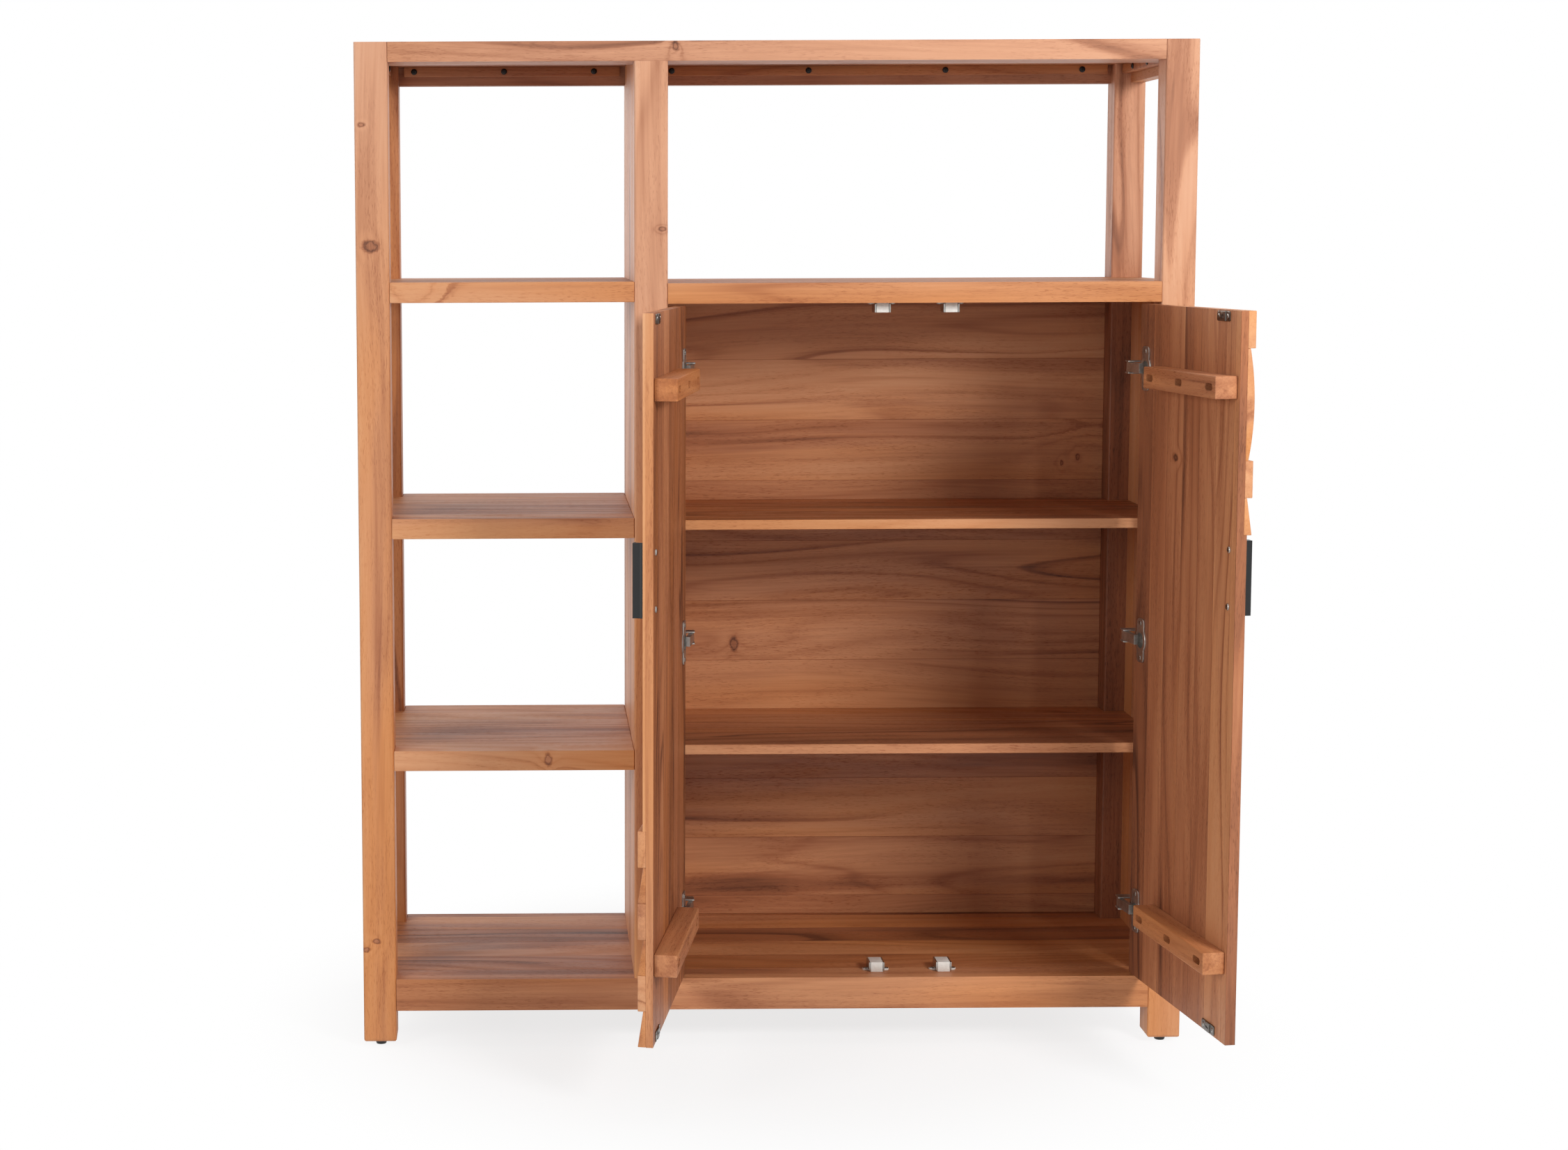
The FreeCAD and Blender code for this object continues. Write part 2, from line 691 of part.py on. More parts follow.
def make_door(side):
    """One door and its fittings, drawn closed about the hinge axis with the lower edge at zero."""
    inward = SIDES[side]["inward"]

    def across(low, high):
        """From one distance off the hinge edge to another."""
        near = f"{inward} * (({low}) - axis_in)"
        far = f"{inward} * (({high}) - axis_in)"
        return (near, far) if inward > 0 else (far, near)

    def at(distance):
        return f"{inward} * (({distance}) - axis_in)"

    def deep(low, high):
        """From one depth behind the closed relief face to another."""
        return (f"({low}) - axis_behind", f"({high}) - axis_behind")

    def behind(depth):
        return f"({depth}) - axis_behind"

    name = f"{side}_door"
    board_space = []
    inner = "door_thick"

    def screw(label, distance, height, seat, head, radius, bite, head_deep):
        """A screw driven from inside, with its head on the given depth; returns it and its bore."""
        shank_radius = "screw_radius" if radius == "pan" else "small_screw_radius"
        start = (at(distance), behind(f"{inner} - ({bite})"), height)
        length = f"({seat}) - {inner} + ({bite})"
        shank = rod(f"{label}_shank", "y", start, shank_radius, length)
        cap = rod(f"{label}_head", "y", (at(distance), behind(seat), height), head, head_deep)
        bore_start = (at(distance), behind(f"{inner} - ({bite}) - bore_clearance"), height)
        bore_length = f"{length} + bore_clearance"
        board_space.append(rod(
            f"{label}_board_bore", "y", bore_start, f"{shank_radius} + bore_clearance", bore_length))
        bore = rod(f"{label}_bore", "y", bore_start, f"{shank_radius} + bore_clearance", bore_length)
        return fuse(label, [shank, cap]), bore

    # Relief blocks and the shallow seats they are let into.
    # The right door's rows fill the space over its handle.
    blocks = []
    row_height = {"left": "relief_row", "right": "upper_relief_row"}[side]
    for number, (row, rows, column, columns, form) in enumerate(RELIEF[side]):
        label = f"{name}_block_{number}"
        u = across(
            f"door_width - {column + columns} * relief_column", f"door_width - {column} * relief_column")
        low = f"{row} * {row_height}" if side == "left" else f"door_height - {row + rows} * {row_height}"
        z = (low, f"{low} + {rows} * {row_height}")
        board_space.append(box(f"{label}_seat", u, deep("relief_proud", "relief_depth"), z))
        if form == "flat":
            blocks.append(box(label, u, deep("0", "relief_depth"), z))
        elif form == "wedge":
            wedge = doc.addObject("Part::Wedge", label)
            bind(wedge, {
                "Xmin": "0", "Xmax": f"({u[1]}) - ({u[0]})",
                "X2min": "0", "X2max": f"({u[1]}) - ({u[0]})",
                "Ymin": "0", "Ymax": f"{rows} * {row_height}",
                "Zmin": "0", "Zmax": "relief_depth",
                "Z2min": "0", "Z2max": "wedge_thin",
            })
            wedge.Placement = FreeCAD.Placement(
                FreeCAD.Vector(), FreeCAD.Rotation(FreeCAD.Vector(1, 0, 0), 90))
            move(wedge, u[0], behind("relief_depth"), low)
            blocks.append(wedge)
        else:
            rise = f"({rows} * {row_height} / 2)"
            radius = f"({rise} * {rise} + relief_proud * relief_proud) / (2 * relief_proud)"
            blank = box(f"{label}_blank", u, deep("0", "relief_depth"), z)
            drum = rod(
                f"{label}_drum", "x", (u[0], behind(radius), f"{low} + {rise}"), radius,
                f"({u[1]}) - ({u[0]})")
            bulge = doc.addObject("Part::Common", label)
            bulge.Base = blank
            bulge.Tool = drum
            blocks.append(bulge)
    swing(f"{name}_relief", group(f"{name}_relief", blocks), side)

    # Battens with slotted screw holes
    pan_screws = []
    batten = ("batten_start", "door_width - batten_end_gap")
    batten_length = f"({batten[1]} - {batten[0]})"
    slot_places = [
        "batten_start + batten_slot_inset",
        f"batten_start + {batten_length} / 2",
        "door_width - batten_end_gap - batten_slot_inset",
    ]
    batten_face = f"{inner} + batten_depth"
    slot_floor = f"{batten_face} - batten_slot_depth"
    for level, centre in BATTEN_HEIGHTS.items():
        label = f"{name}_{level}_batten"
        bar = box(f"{label}_bar", across(*batten), deep(inner, batten_face), around(centre, "batten_height"))
        spaces = []
        for number, distance in enumerate(slot_places):
            middle = box(
                f"{label}_slot_{number}_middle",
                across(*around(distance, "batten_slot_length - batten_slot_width")),
                deep(slot_floor, batten_face), around(centre, "batten_slot_width"))
            ends = [
                rod(
                    f"{label}_slot_{number}_end_{step + 1}", "y",
                    (at(f"{distance} + {step} * (batten_slot_length - batten_slot_width) / 2"),
                     behind(slot_floor), centre),
                    "batten_slot_width / 2", "batten_slot_depth")
                for step in (-1, 1)
            ]
            driven, bore = screw(
                f"{label}_screw_{number}", distance, centre, slot_floor, "pan_head_radius * 0.9",
                "pan", "screw_bite", "pan_head_height")
            pan_screws.append(driven)
            spaces.append(fuse(f"{label}_slot_{number}", [middle, *ends, bore]))
        swing(label, cut(label, bar, spaces), side)

    # Handle, screwed through the board from inside: a fin with a hollowed foot and a hooked outer lip
    handle_u = "door_width - handle_edge"
    fin_low, fin_high = around(handle_u, "handle_fin")
    hollow_u = f"{fin_high} + handle_round"
    hollow_v = "relief_proud - handle_base - handle_round"
    outer_v = "relief_proud - handle_height"
    handle_z = around("handle_rise", "handle_length")
    hollow_z = around("handle_rise", "handle_length + 2 * handle_base")
    stock = box(
        f"{name}_handle_stock", across(fin_low, hollow_u), deep(outer_v, "relief_proud"), handle_z)
    hollow = fuse(f"{name}_handle_hollow", [
        rod(f"{name}_handle_hollow_round", "z", (at(hollow_u), behind(hollow_v), hollow_z[0]),
            "handle_round", "handle_length + 2 * handle_base"),
        box(f"{name}_handle_hollow_side", across(fin_high, f"{hollow_u} + handle_round"),
            deep(f"{outer_v} - handle_base", hollow_v), hollow_z),
    ])
    lip = box(
        f"{name}_handle_lip", across(f"{fin_low} - handle_hook", handle_u),
        deep(outer_v, f"{outer_v} + handle_lip"), handle_z)
    handle = [cut(f"{name}_handle_fin", stock, [hollow]), lip]
    handle_bores = []
    for step in (-1, 1):
        height = f"handle_rise + {step} * handle_screw_spacing / 2"
        driven, bore = screw(
            f"{name}_handle_screw_{step + 1}", handle_u, height, inner, "pan_head_radius",
            "pan", "door_board + handle_height / 3", "pan_head_height")
        pan_screws.append(driven)
        handle_bores.append(bore)
    swing(f"{name}_handle", cut(f"{name}_handle", fuse(f"{name}_handle_blank", handle), handle_bores), side)
    swing(f"{name}_pan_screws", group(f"{name}_pan_screws", pan_screws), side)

    # Hinge cups bored into the inner face
    small_screws = []
    cups = []
    flange_face = f"{inner} + flange"
    for number, height in enumerate(HINGE_HEIGHTS):
        label = f"{name}_cup_{number}"
        plate = box(
            f"{label}_flange", across(*around("cup_edge", "flange_width")), deep(inner, flange_face),
            around(height, "flange_height"))
        pot = rod(
            f"{label}_pot", "y", (at("cup_edge"), behind(f"{inner} - cup_depth"), height),
            "cup_radius", "cup_depth")
        hollow = rod(
            f"{label}_hollow", "y", (at("cup_edge"), behind(f"{inner} - cup_depth + cup_wall"), height),
            "flange_width / 2 - cup_wall", "cup_depth - cup_wall + flange")
        board_space.append(rod(
            f"{label}_seat", "y", (at("cup_edge"), behind(f"{inner} - cup_depth - bore_clearance"), height),
            "cup_radius + bore_clearance", "cup_depth + bore_clearance"))
        cup_bores = [hollow]
        for step in (-1, 1):
            screw_z = f"{height} + {step} * flange_screw_spacing / 2"
            driven, bore = screw(
                f"{label}_screw_{step + 1}", "cup_edge", screw_z, flange_face, "small_head_radius",
                "small", "screw_bite", "small_head_height")
            small_screws.append(driven)
            cup_bores.append(bore)
        cups.append(cut(label, fuse(f"{label}_blank", [plate, pot]), cup_bores))
    swing(f"{name}_hinge_cups", group(f"{name}_hinge_cups", cups), side)

    # Steel strikes that meet the magnets
    strikes = []
    strike_u = f"door_width - {side}_strike_edge"
    strike_levels = {
        "lower": "strike_inset + strike_height / 2",
        "upper": "door_height - strike_inset - strike_height / 2",
    }
    plate_face = f"{inner} + strike_plate"
    for level, height in strike_levels.items():
        label = f"{name}_{level}_strike"
        plate = box(
            f"{label}_plate", across(*around(strike_u, "strike_length")), deep(inner, plate_face),
            around(height, "strike_height"))
        raised = box(
            f"{label}_raised", across(*around(strike_u, "strike_raise_length")),
            deep(plate_face, f"{plate_face} + strike_raise"), around(height, "strike_height"))
        strike_bores = []
        for step in (-1, 1):
            driven, bore = screw(
                f"{label}_screw_{step + 1}", f"{strike_u} + {step} * strike_screw_spacing / 2", height,
                plate_face, "small_head_radius", "small", "screw_bite", "small_head_height * 0.7")
            small_screws.append(driven)
            strike_bores.append(bore)
        strikes.append(cut(label, fuse(f"{label}_blank", [plate, raised]), strike_bores))
    swing(f"{name}_strikes", group(f"{name}_strikes", strikes), side)
    swing(f"{name}_small_screws", group(f"{name}_small_screws", small_screws), side)

    # Board, with the seats and bores gathered above
    board = box(
        f"{name}_blank", across("0", "door_width"), deep("relief_proud", inner), ("0", "door_height"))
    swing(f"{name}_board", cut(f"{name}_board", board, [fuse(f"{name}_spaces", board_space)]), side)

    # Hinge links on the arms' pins, lying along the door's inner face
    links = []
    for number, height in enumerate(HINGE_HEIGHTS):
        label = f"{name}_link_{number}"
        ends = (f"{inward} * (-link_end)", f"{inward} * link_length")
        x = ends if inward > 0 else (ends[1], ends[0])
        bar = box(f"{label}_bar", x, around("0", "link_thickness"), around(height, "link_height"))
        eye = rod(f"{label}_eye", "z", ("0", "0", f"{height} - link_height / 2"),
                  "pin_radius + 2 * pin_clearance", "link_height")
        links.append(cut(label, bar, [eye]))
    pin_x = f"{SIDES[side]['face']} + {inward} * {side}_pin_reach"
    swing(f"{side}_hinge_links", group(f"{side}_hinge_links", links), side, x=pin_x, y="pin_y")


def cut_bores():
    """Drill every carcass piece at the places its fasteners gathered."""
    for label, tools in bores.items():
        if tools:
            nodes[label] = cut(f"{label}_drilled", nodes[label], tools)


def check_and_write():
    doc.recompute()
    failed = [obj.Name for obj in doc.Objects if {"Invalid", "Error"} & set(obj.State)]
    if failed:
        raise RuntimeError(f"failed to recompute: {failed}")
    os.makedirs("parts", exist_ok=True)
    for label, obj in nodes.items():
        obj.Label = label
        if obj.Shape.isNull() or not obj.Shape.isValid() or not obj.Shape.Solids:
            raise RuntimeError(f"{label} has no valid solid")
        obj.Shape.exportStep(os.path.join("parts", f"{label}.step"))
    print(f"{len(nodes)} sub-parts, {sum(len(obj.Shape.Solids) for obj in nodes.values())} solids")


make_posts()
make_shelves()
make_frames_and_panels()
make_dowels()
make_cleats()
hinge_plates = []
hinge_pins = []
fitting_screws = []
for side in SIDES:
    plates, pins, screws = make_hinge_halves(side)
    hinge_plates += plates
    hinge_pins += pins
    fitting_screws += screws
fitting_screws += make_catches()
keep("hinge_plates", group("hinge_plates", hinge_plates))
keep("hinge_pins", group("hinge_pins", hinge_pins))
keep("fitting_screws", group("fitting_screws", fitting_screws))
for side in SIDES:
    make_door(side)
cut_bores()
check_and_write()
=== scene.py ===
import math
import random

import bmesh
import bpy
from mathutils import Matrix, Vector


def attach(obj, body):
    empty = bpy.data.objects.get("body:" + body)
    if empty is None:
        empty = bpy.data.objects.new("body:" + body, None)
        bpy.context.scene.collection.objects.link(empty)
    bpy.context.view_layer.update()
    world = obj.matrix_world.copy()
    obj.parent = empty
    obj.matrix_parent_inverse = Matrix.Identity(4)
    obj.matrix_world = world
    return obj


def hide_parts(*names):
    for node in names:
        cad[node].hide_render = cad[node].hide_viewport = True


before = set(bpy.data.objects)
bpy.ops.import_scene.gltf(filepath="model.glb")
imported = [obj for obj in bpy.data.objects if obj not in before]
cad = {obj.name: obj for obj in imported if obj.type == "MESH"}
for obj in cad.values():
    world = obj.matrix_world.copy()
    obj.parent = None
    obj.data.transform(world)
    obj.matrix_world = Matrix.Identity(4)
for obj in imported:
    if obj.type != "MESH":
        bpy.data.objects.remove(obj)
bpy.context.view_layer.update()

MM = 0.001

# Camera: the photograph's own eye point, tilted down a little and shifted for the rest
EYE = (-0.346, -3.686, 1.140)
PITCH, YAW, ROLL = 5.686, 0.219, -0.243
LENS = 58.74
SENSOR = 36.0
SHIFT = (0.1595, -0.055)

# Door axes at rest, with the angle that each door stands open
DOOR_AXES = {
    "left": ((-0.139, -0.169, 0.0), math.radians(-100.6)),
    "right": ((0.520, -0.169, 0.0), math.radians(97.8)),
}

# Way that x runs from a closed door's hinge edge to its free edge
DOOR_RUN = {"left": 1, "right": -1}

# Acacia from the dark veins to the palest wood, in an orange and a pinker cast, and a pale cast that is
# painted sheen, as 0-255 sRGB
ORANGE = [
    (0.00, (56, 28, 17)),
    (0.22, (108, 60, 34)),
    (0.45, (166, 99, 55)),
    (0.65, (203, 134, 80)),
    (0.85, (218, 156, 102)),
    (1.00, (229, 178, 130)),
]
PINK = [
    (0.00, (58, 32, 23)),
    (0.22, (110, 65, 44)),
    (0.45, (165, 104, 70)),
    (0.65, (202, 141, 99)),
    (0.85, (216, 161, 120)),
    (1.00, (227, 182, 145)),
]
PAINTED_SHEEN = [
    (0.00, (64, 38, 30)),
    (0.22, (118, 75, 56)),
    (0.45, (172, 117, 88)),
    (0.65, (207, 152, 119)),
    (0.85, (219, 171, 140)),
    (1.00, (229, 190, 162)),
]

# Wood noise: scale along, across and through the grain, then detail and roughness
NOISES = {
    "wander": ((1.3, 4.5, 4.5), 1.0, 0.5),
    "contour": ((0.8, 9.0, 9.0), 1.5, 0.4),
    "ragged": ((150.0, 150.0, 150.0), 3.0, 0.5),
    "patchy": ((0.9, 6.0, 6.0), 1.0, 0.5),
    "smoky": ((0.9, 15.0, 15.0), 3.0, 0.55),
    "cloud": ((1.4, 11.0, 11.0), 2.5, 0.5),
    "fibre": ((7.0, 280.0, 280.0), 3.0, 0.5),
    "streak": ((2.6, 95.0, 95.0), 2.0, 0.5),
    "pore": ((95.0, 950.0, 950.0), 1.0, 0.5),
    "sown": ((5.0, 30.0, 30.0), 1.0, 0.5),
    "cast": ((1.1, 7.0, 7.0), 2.0, 0.5),
}

# Where each feature of the wood begins to show and where it is full
STEPS = {
    "smoky": (0.54, 0.76),
    "streak": (0.58, 0.76),
    "pore": (0.56, 0.68),
    "sown": (0.30, 0.60),
    "cast": (0.35, 0.65),
    "lines": (0.40, 0.62),
    "vein": (0.011, 0.002),
    "vein_patch": (0.44, 0.58),
    "seam": (0.0008, 0.0002),
    "heart": (1.10, 0.80),
    "rim_inside": (0.55, 0.95),
    "rim_outside": (1.7, 1.0),
    "outer_face": (0.006, 0.004),
}

# Lightness and roughness of plain wood, what each feature adds to them, and how high each feature stands
PLAIN_LIGHTNESS = 0.66
LIGHTNESS = {
    "cloud": 0.42, "wave": -0.04, "lines": -0.09, "vein": -0.20, "smoky": -0.22, "fibre": 0.22,
    "streak": -0.06, "pore": -0.10, "stave": 0.20, "seam": -0.14, "heart": -0.17, "rim": -0.24,
}
PLAIN_ROUGHNESS = 0.36
ROUGHNESS = {"pore": 0.18, "wave": 0.08, "fibre": 0.16}
HEIGHT = {"pore": -0.6, "fibre": 0.5, "lines": -0.2, "seam": -0.9}
PINKNESS = {"smoky": 0.9, "heart": 0.8}
WOOD_BUMP, WOOD_BUMP_STRENGTH = 0.0005, 0.35
WOOD_SPECULAR = 0.42

# Growth lines and veins, and how far apart in the tree the boards and staves are cut
RING_COUNT = 13.0
LINE_SHARPNESS = 9.0
VEIN_LEVEL = 0.55
NOISE_MIDDLE = 0.5
WANDER_REACH = 0.06
BOARD_REACH = 40.0
STAVE_REACH = 30.0
STAVE_STOCK = 500

# Knots: their shape, how they bend the growth lines, and the front plane that edge knots start from
KNOT_SPREAD = 0.62
KNOT_FADE = 0.35
KNOT_RAGGED = 1.3
KNOT_BEND, SWIRL_BEND = 0.07, 0.12
BEND_FALL = -0.10
FRONT = -0.175

# Width of the joint where a front strip of painted light or shade begins
LIP_FADE = 0.0005

# Metal, paint and plastic: two sizes of unevenness, their shares, and the range that the tones span
CLOUD_SCALE, CLOUD_DETAIL, CLOUD_SHARE = (35.0, 35.0, 35.0), 3.0, 0.6
SPECK_SCALE, SPECK_DETAIL, SPECK_SHARE = (260.0, 260.0, 260.0), 2.0, 0.4
TONE_LOW, TONE_HIGH = 0.35, 0.65
SPECK_BUMP = 0.0002


def linear(rgb):
    """Scene-linear colour of 0-255 sRGB values."""
    def one(value):
        value /= 255
        return value / 12.92 if value <= 0.04045 else ((value + 0.055) / 1.055) ** 2.4
    return (*map(one, rgb), 1.0)


class Shader:
    """One node material and short calls to add nodes to it."""

    def __init__(self, name):
        self.material = bpy.data.materials.new(name)
        self.material.use_nodes = True
        self.tree = self.material.node_tree
        self.surface = self.tree.nodes["Principled BSDF"]

    def feed(self, socket, value):
        """Links a socket, or sets it to a plain value."""
        if isinstance(value, bpy.types.NodeSocket):
            self.tree.links.new(value, socket)
        else:
            socket.default_value = value

    def add(self, kind, inputs=(), **settings):
        node = self.tree.nodes.new(kind)
        for key, value in settings.items():
            setattr(node, key, value)
        for key, value in dict(inputs).items():
            self.feed(node.inputs[key], value)
        return node

    def set(self, **sockets):
        """Feeds the surface's own sockets."""
        for key, value in sockets.items():
            self.feed(self.surface.inputs[key.replace("_", " ")], value)

    def math(self, operation, first, second=0.0):
        return self.add("ShaderNodeMath", {0: first, 1: second}, operation=operation).outputs[0]

    def total(self, *terms):
        """Sum of (factor, socket) pairs and plain numbers or sockets."""
        result = None
        for term in terms:
            if isinstance(term, tuple):
                term = self.math("MULTIPLY", term[1], term[0])
            result = term if result is None else self.math("ADD", result, term)
        return result

    def largest(self, sockets):
        """Largest of some sockets, None when there are none."""
        result = None
        for socket in sockets:
            result = socket if result is None else self.math("MAXIMUM", result, socket)
        return result

    def vector(self, operation, first, second):
        node = self.add("ShaderNodeVectorMath", {0: first, 1: second}, operation=operation)
        return node.outputs[0]

    def length(self, place):
        return self.add("ShaderNodeVectorMath", {0: place}, operation="LENGTH").outputs["Value"]

    def combine(self, x, y, z):
        return self.add("ShaderNodeCombineXYZ", {0: x, 1: y, 2: z}).outputs[0]

    def object_place(self):
        return self.add("ShaderNodeTexCoord").outputs["Object"]

    def noise(self, place, scale, detail, roughness=0.5, output=0):
        stretched = self.vector("MULTIPLY", place, scale)
        inputs = {"Vector": stretched, "Scale": 1.0, "Detail": detail, "Roughness": roughness}
        return self.add("ShaderNodeTexNoise", inputs).outputs[output]

    def step(self, value, low, high):
        """Smooth change from 0 at low to 1 at high."""
        inputs = {"Value": value, "From Min": low, "From Max": high}
        return self.add("ShaderNodeMapRange", inputs, interpolation_type="SMOOTHSTEP").outputs[0]

    def ramp(self, value, stops):
        node = self.add("ShaderNodeValToRGB", {0: value})
        elements = node.color_ramp.elements
        while len(elements) < len(stops):
            elements.new(1.0)
        for element, (place, rgb) in zip(elements, stops):
            element.position = place
            element.color = linear(rgb)
        return node.outputs[0]

    def mix(self, factor, first, second):
        node = self.add("ShaderNodeMix", {"Factor": factor}, data_type="RGBA", clamp_factor=True)
        self.feed(node.inputs[6], first)
        self.feed(node.inputs[7], second)
        return node.outputs[2]

    def bump(self, height, distance, strength):
        node = self.add("ShaderNodeBump", {"Height": height, "Distance": distance, "Strength": strength})
        self.set(Normal=node.outputs[0])


def grain_place(shader, axes, door):
    """Place along, across and through the grain, turned along with a door."""
    place = shader.object_place()
    if door:
        hinge, turn = DOOR_AXES[door]
        inputs = {"Vector": place, "Location": hinge, "Rotation": (0, 0, turn)}
        place = shader.add("ShaderNodeMapping", inputs, vector_type="TEXTURE").outputs[0]
    parts = shader.add("ShaderNodeSeparateXYZ", {0: place}).outputs
    return [parts["XYZ".index(axis)] for axis in axes]


def cut_staves(shader, draw, grown, wide, staves):
    """Cuts each stave from another place in the tree; gives that place, the staves' tones and the seams."""
    width, first = staves
    count = shader.math("DIVIDE", shader.math("SUBTRACT", wide, first), width)
    index = shader.math("ADD", shader.math("FLOOR", count), draw.uniform(0, STAVE_STOCK))
    chance = shader.add("ShaderNodeTexWhiteNoise", {"W": index}, noise_dimensions="1D")
    shifted = shader.vector("MULTIPLY", chance.outputs["Color"], (STAVE_REACH, STAVE_REACH, STAVE_REACH))
    tone = shader.math("SUBTRACT", chance.outputs["Value"], NOISE_MIDDLE)
    fraction = shader.math("FRACT", count)
    nearest = shader.math("MINIMUM", fraction, shader.math("SUBTRACT", 1.0, fraction))
    seam = shader.step(shader.math("MULTIPLY", nearest, width), *STEPS["seam"])
    return shader.vector("ADD", grown, shifted), tone, seam


def wander_off(shader, grown):
    """Place in the tree with grain that wanders a little from side to side."""
    wander = shader.noise(grown, *NOISES["wander"], output="Color")
    wander = shader.vector("SUBTRACT", wander, (NOISE_MIDDLE, NOISE_MIDDLE, NOISE_MIDDLE))
    return shader.vector("ADD", grown, shader.vector("MULTIPLY", wander, (0.0, WANDER_REACH, WANDER_REACH)))


def grow_knots(shader, grown, contour, place, knots, swirls):
    """Bends the growth lines round knots and swirls; gives the lines, the knots' hearts and their dark rims.

    place is along the grain, across it and from the front.
    """
    hearts = []
    rims = []
    ragged = shader.noise(grown, *NOISES["ragged"])
    for number, (along, across, radius) in enumerate((*knots, *swirls)):
        is_knot = number < len(knots)
        offset = shader.vector("SUBTRACT", shader.combine(*place), (along, across, FRONT))
        offset = shader.vector("MULTIPLY", offset, (1.0, KNOT_SPREAD, KNOT_FADE))
        reach = shader.total(
            (1.0 / radius, shader.length(offset)), (KNOT_RAGGED, ragged), -KNOT_RAGGED * NOISE_MIDDLE)
        squared = shader.math("MULTIPLY", reach, reach)
        bend = shader.math("EXPONENT", shader.math("MULTIPLY", squared, BEND_FALL))
        contour = shader.total(contour, (KNOT_BEND if is_knot else SWIRL_BEND, bend))
        if is_knot:
            hearts.append(shader.step(reach, *STEPS["heart"]))
            inside = shader.step(reach, *STEPS["rim_inside"])
            rims.append(shader.math("MULTIPLY", inside, shader.step(reach, *STEPS["rim_outside"])))
    return contour, shader.largest(hearts), shader.largest(rims)


def wood(name, axes, tone=0.0, staves=None, knots=(), swirls=(), on_edge=False, shallow=False, door=None,
         figure=1.0, lip=None, pale=None, rise=0.0, smoke=1.0, red=0.0, outside=0.0, hinge_side_shade=None):
    """Solid acacia. axes name the grain, width and thickness directions; staves are (width, first seam).

    knots and swirls are (along the grain, across it, radius); on_edge puts them on the front edge of a board,
    and shallow knots end a little behind the front.
    figure is how strongly the growth lines show, smoke how strongly the dark bands do.
    lip is (where its inner edge is, how much paler) for a front strip of painted light; a negative amount
    paints shade there.
    pale is (where it starts, where it is full) along the grain for a painted pale sheen, where the colour
    turns to the sheen colours;
    rise is how much lighter the wood is painted there, as painted light. red turns the wood from orange
    towards a redder brown.
    outside is how much paler a door's outer face is than its inner face, so that a tone that paints shade on
    the inner face leaves the outer face lighter.
    The hinge-side shade, last of all, is (where it starts, where it is full, how much darker) across the
    grain: painted shade on a door's hinge side.
    """
    draw = random.Random(name)
    shader = Shader(name)

    def feature(kind):
        return shader.step(shader.noise(grown, *NOISES[kind]), *STEPS[kind])

    # Each board and each stave is cut from another place in the tree
    along, wide, deep = grain_place(shader, axes, door)
    start = tuple(draw.uniform(-BOARD_REACH, BOARD_REACH) for _ in range(3))
    grown = shader.vector("ADD", shader.combine(along, wide, deep), start)
    stave_tone = None
    seam = None
    if staves:
        grown, stave_tone, seam = cut_staves(shader, draw, grown, wide, staves)
    grown = wander_off(shader, grown)

    # Growth lines and veins are the contours of a long slow figure, bent round the knots
    contour = shader.noise(grown, *NOISES["contour"])
    heart = None
    rim = None
    if knots or swirls:
        if on_edge:
            place = (along, deep, wide)
        else:
            place = (along, wide, deep if shallow else FRONT)
        contour, heart, rim = grow_knots(shader, grown, contour, place, knots, swirls)
    wave = shader.math("COSINE", shader.math("MULTIPLY", contour, RING_COUNT * math.tau))
    wave = shader.math("MULTIPLY", shader.math("ADD", wave, 1.0), 0.5)
    patchy = shader.noise(grown, *NOISES["patchy"])
    lines = shader.math("POWER", wave, LINE_SHARPNESS)
    lines = shader.math("MULTIPLY", lines, shader.step(patchy, *STEPS["lines"]))
    vein = shader.math("ABSOLUTE", shader.math("SUBTRACT", contour, VEIN_LEVEL))
    vein = shader.step(vein, *STEPS["vein"])
    vein = shader.math("MULTIPLY", vein, shader.step(patchy, *STEPS["vein_patch"]))

    # Smoky bands, soft clouds of tone, fine fibre, dark streaks and short open pores
    smoky = shader.math("MULTIPLY", feature("smoky"), smoke)
    cloud = shader.noise(grown, *NOISES["cloud"])
    fibre = shader.noise(grown, *NOISES["fibre"])
    streak = feature("streak")
    pore = shader.math("MULTIPLY", feature("pore"), feature("sown"))

    # Lightness
    lightness = [
        PLAIN_LIGHTNESS + tone,
        (LIGHTNESS["cloud"], shader.math("SUBTRACT", cloud, NOISE_MIDDLE)),
        (LIGHTNESS["wave"] * figure, wave),
        (LIGHTNESS["lines"] * figure, lines),
        (LIGHTNESS["vein"] * figure, vein),
        (LIGHTNESS["smoky"], smoky),
        (LIGHTNESS["fibre"], shader.math("SUBTRACT", fibre, NOISE_MIDDLE)),
        (LIGHTNESS["streak"] * figure, streak),
        (LIGHTNESS["pore"], pore),
    ]
    if staves:
        lightness += [(LIGHTNESS["stave"], stave_tone), (LIGHTNESS["seam"], seam)]
    # Painted light on a front strip that faces the lamps; a negative amount paints shade there
    if lip:
        lip_edge, paler = lip
        lip_full = lip_edge + math.copysign(LIP_FADE, lip_edge)
        lightness.append((paler, shader.step(wide, lip_edge, lip_full)))
    if outside:
        lightness.append((outside, shader.step(deep, *STEPS["outer_face"])))
    # Painted light: lighter towards the end of the grain where the pale sheen is painted
    if rise:
        lightness.append((rise, shader.step(along, *pale)))
    # Painted shade across the grain on a door's hinge side
    if hinge_side_shade:
        dark_start, dark_full, darker = hinge_side_shade
        lightness.append((-darker, shader.step(wide, dark_start, dark_full)))
    if knots:
        lightness += [(LIGHTNESS["heart"], heart), (LIGHTNESS["rim"], rim)]
    lightness = shader.total(*reversed(lightness))

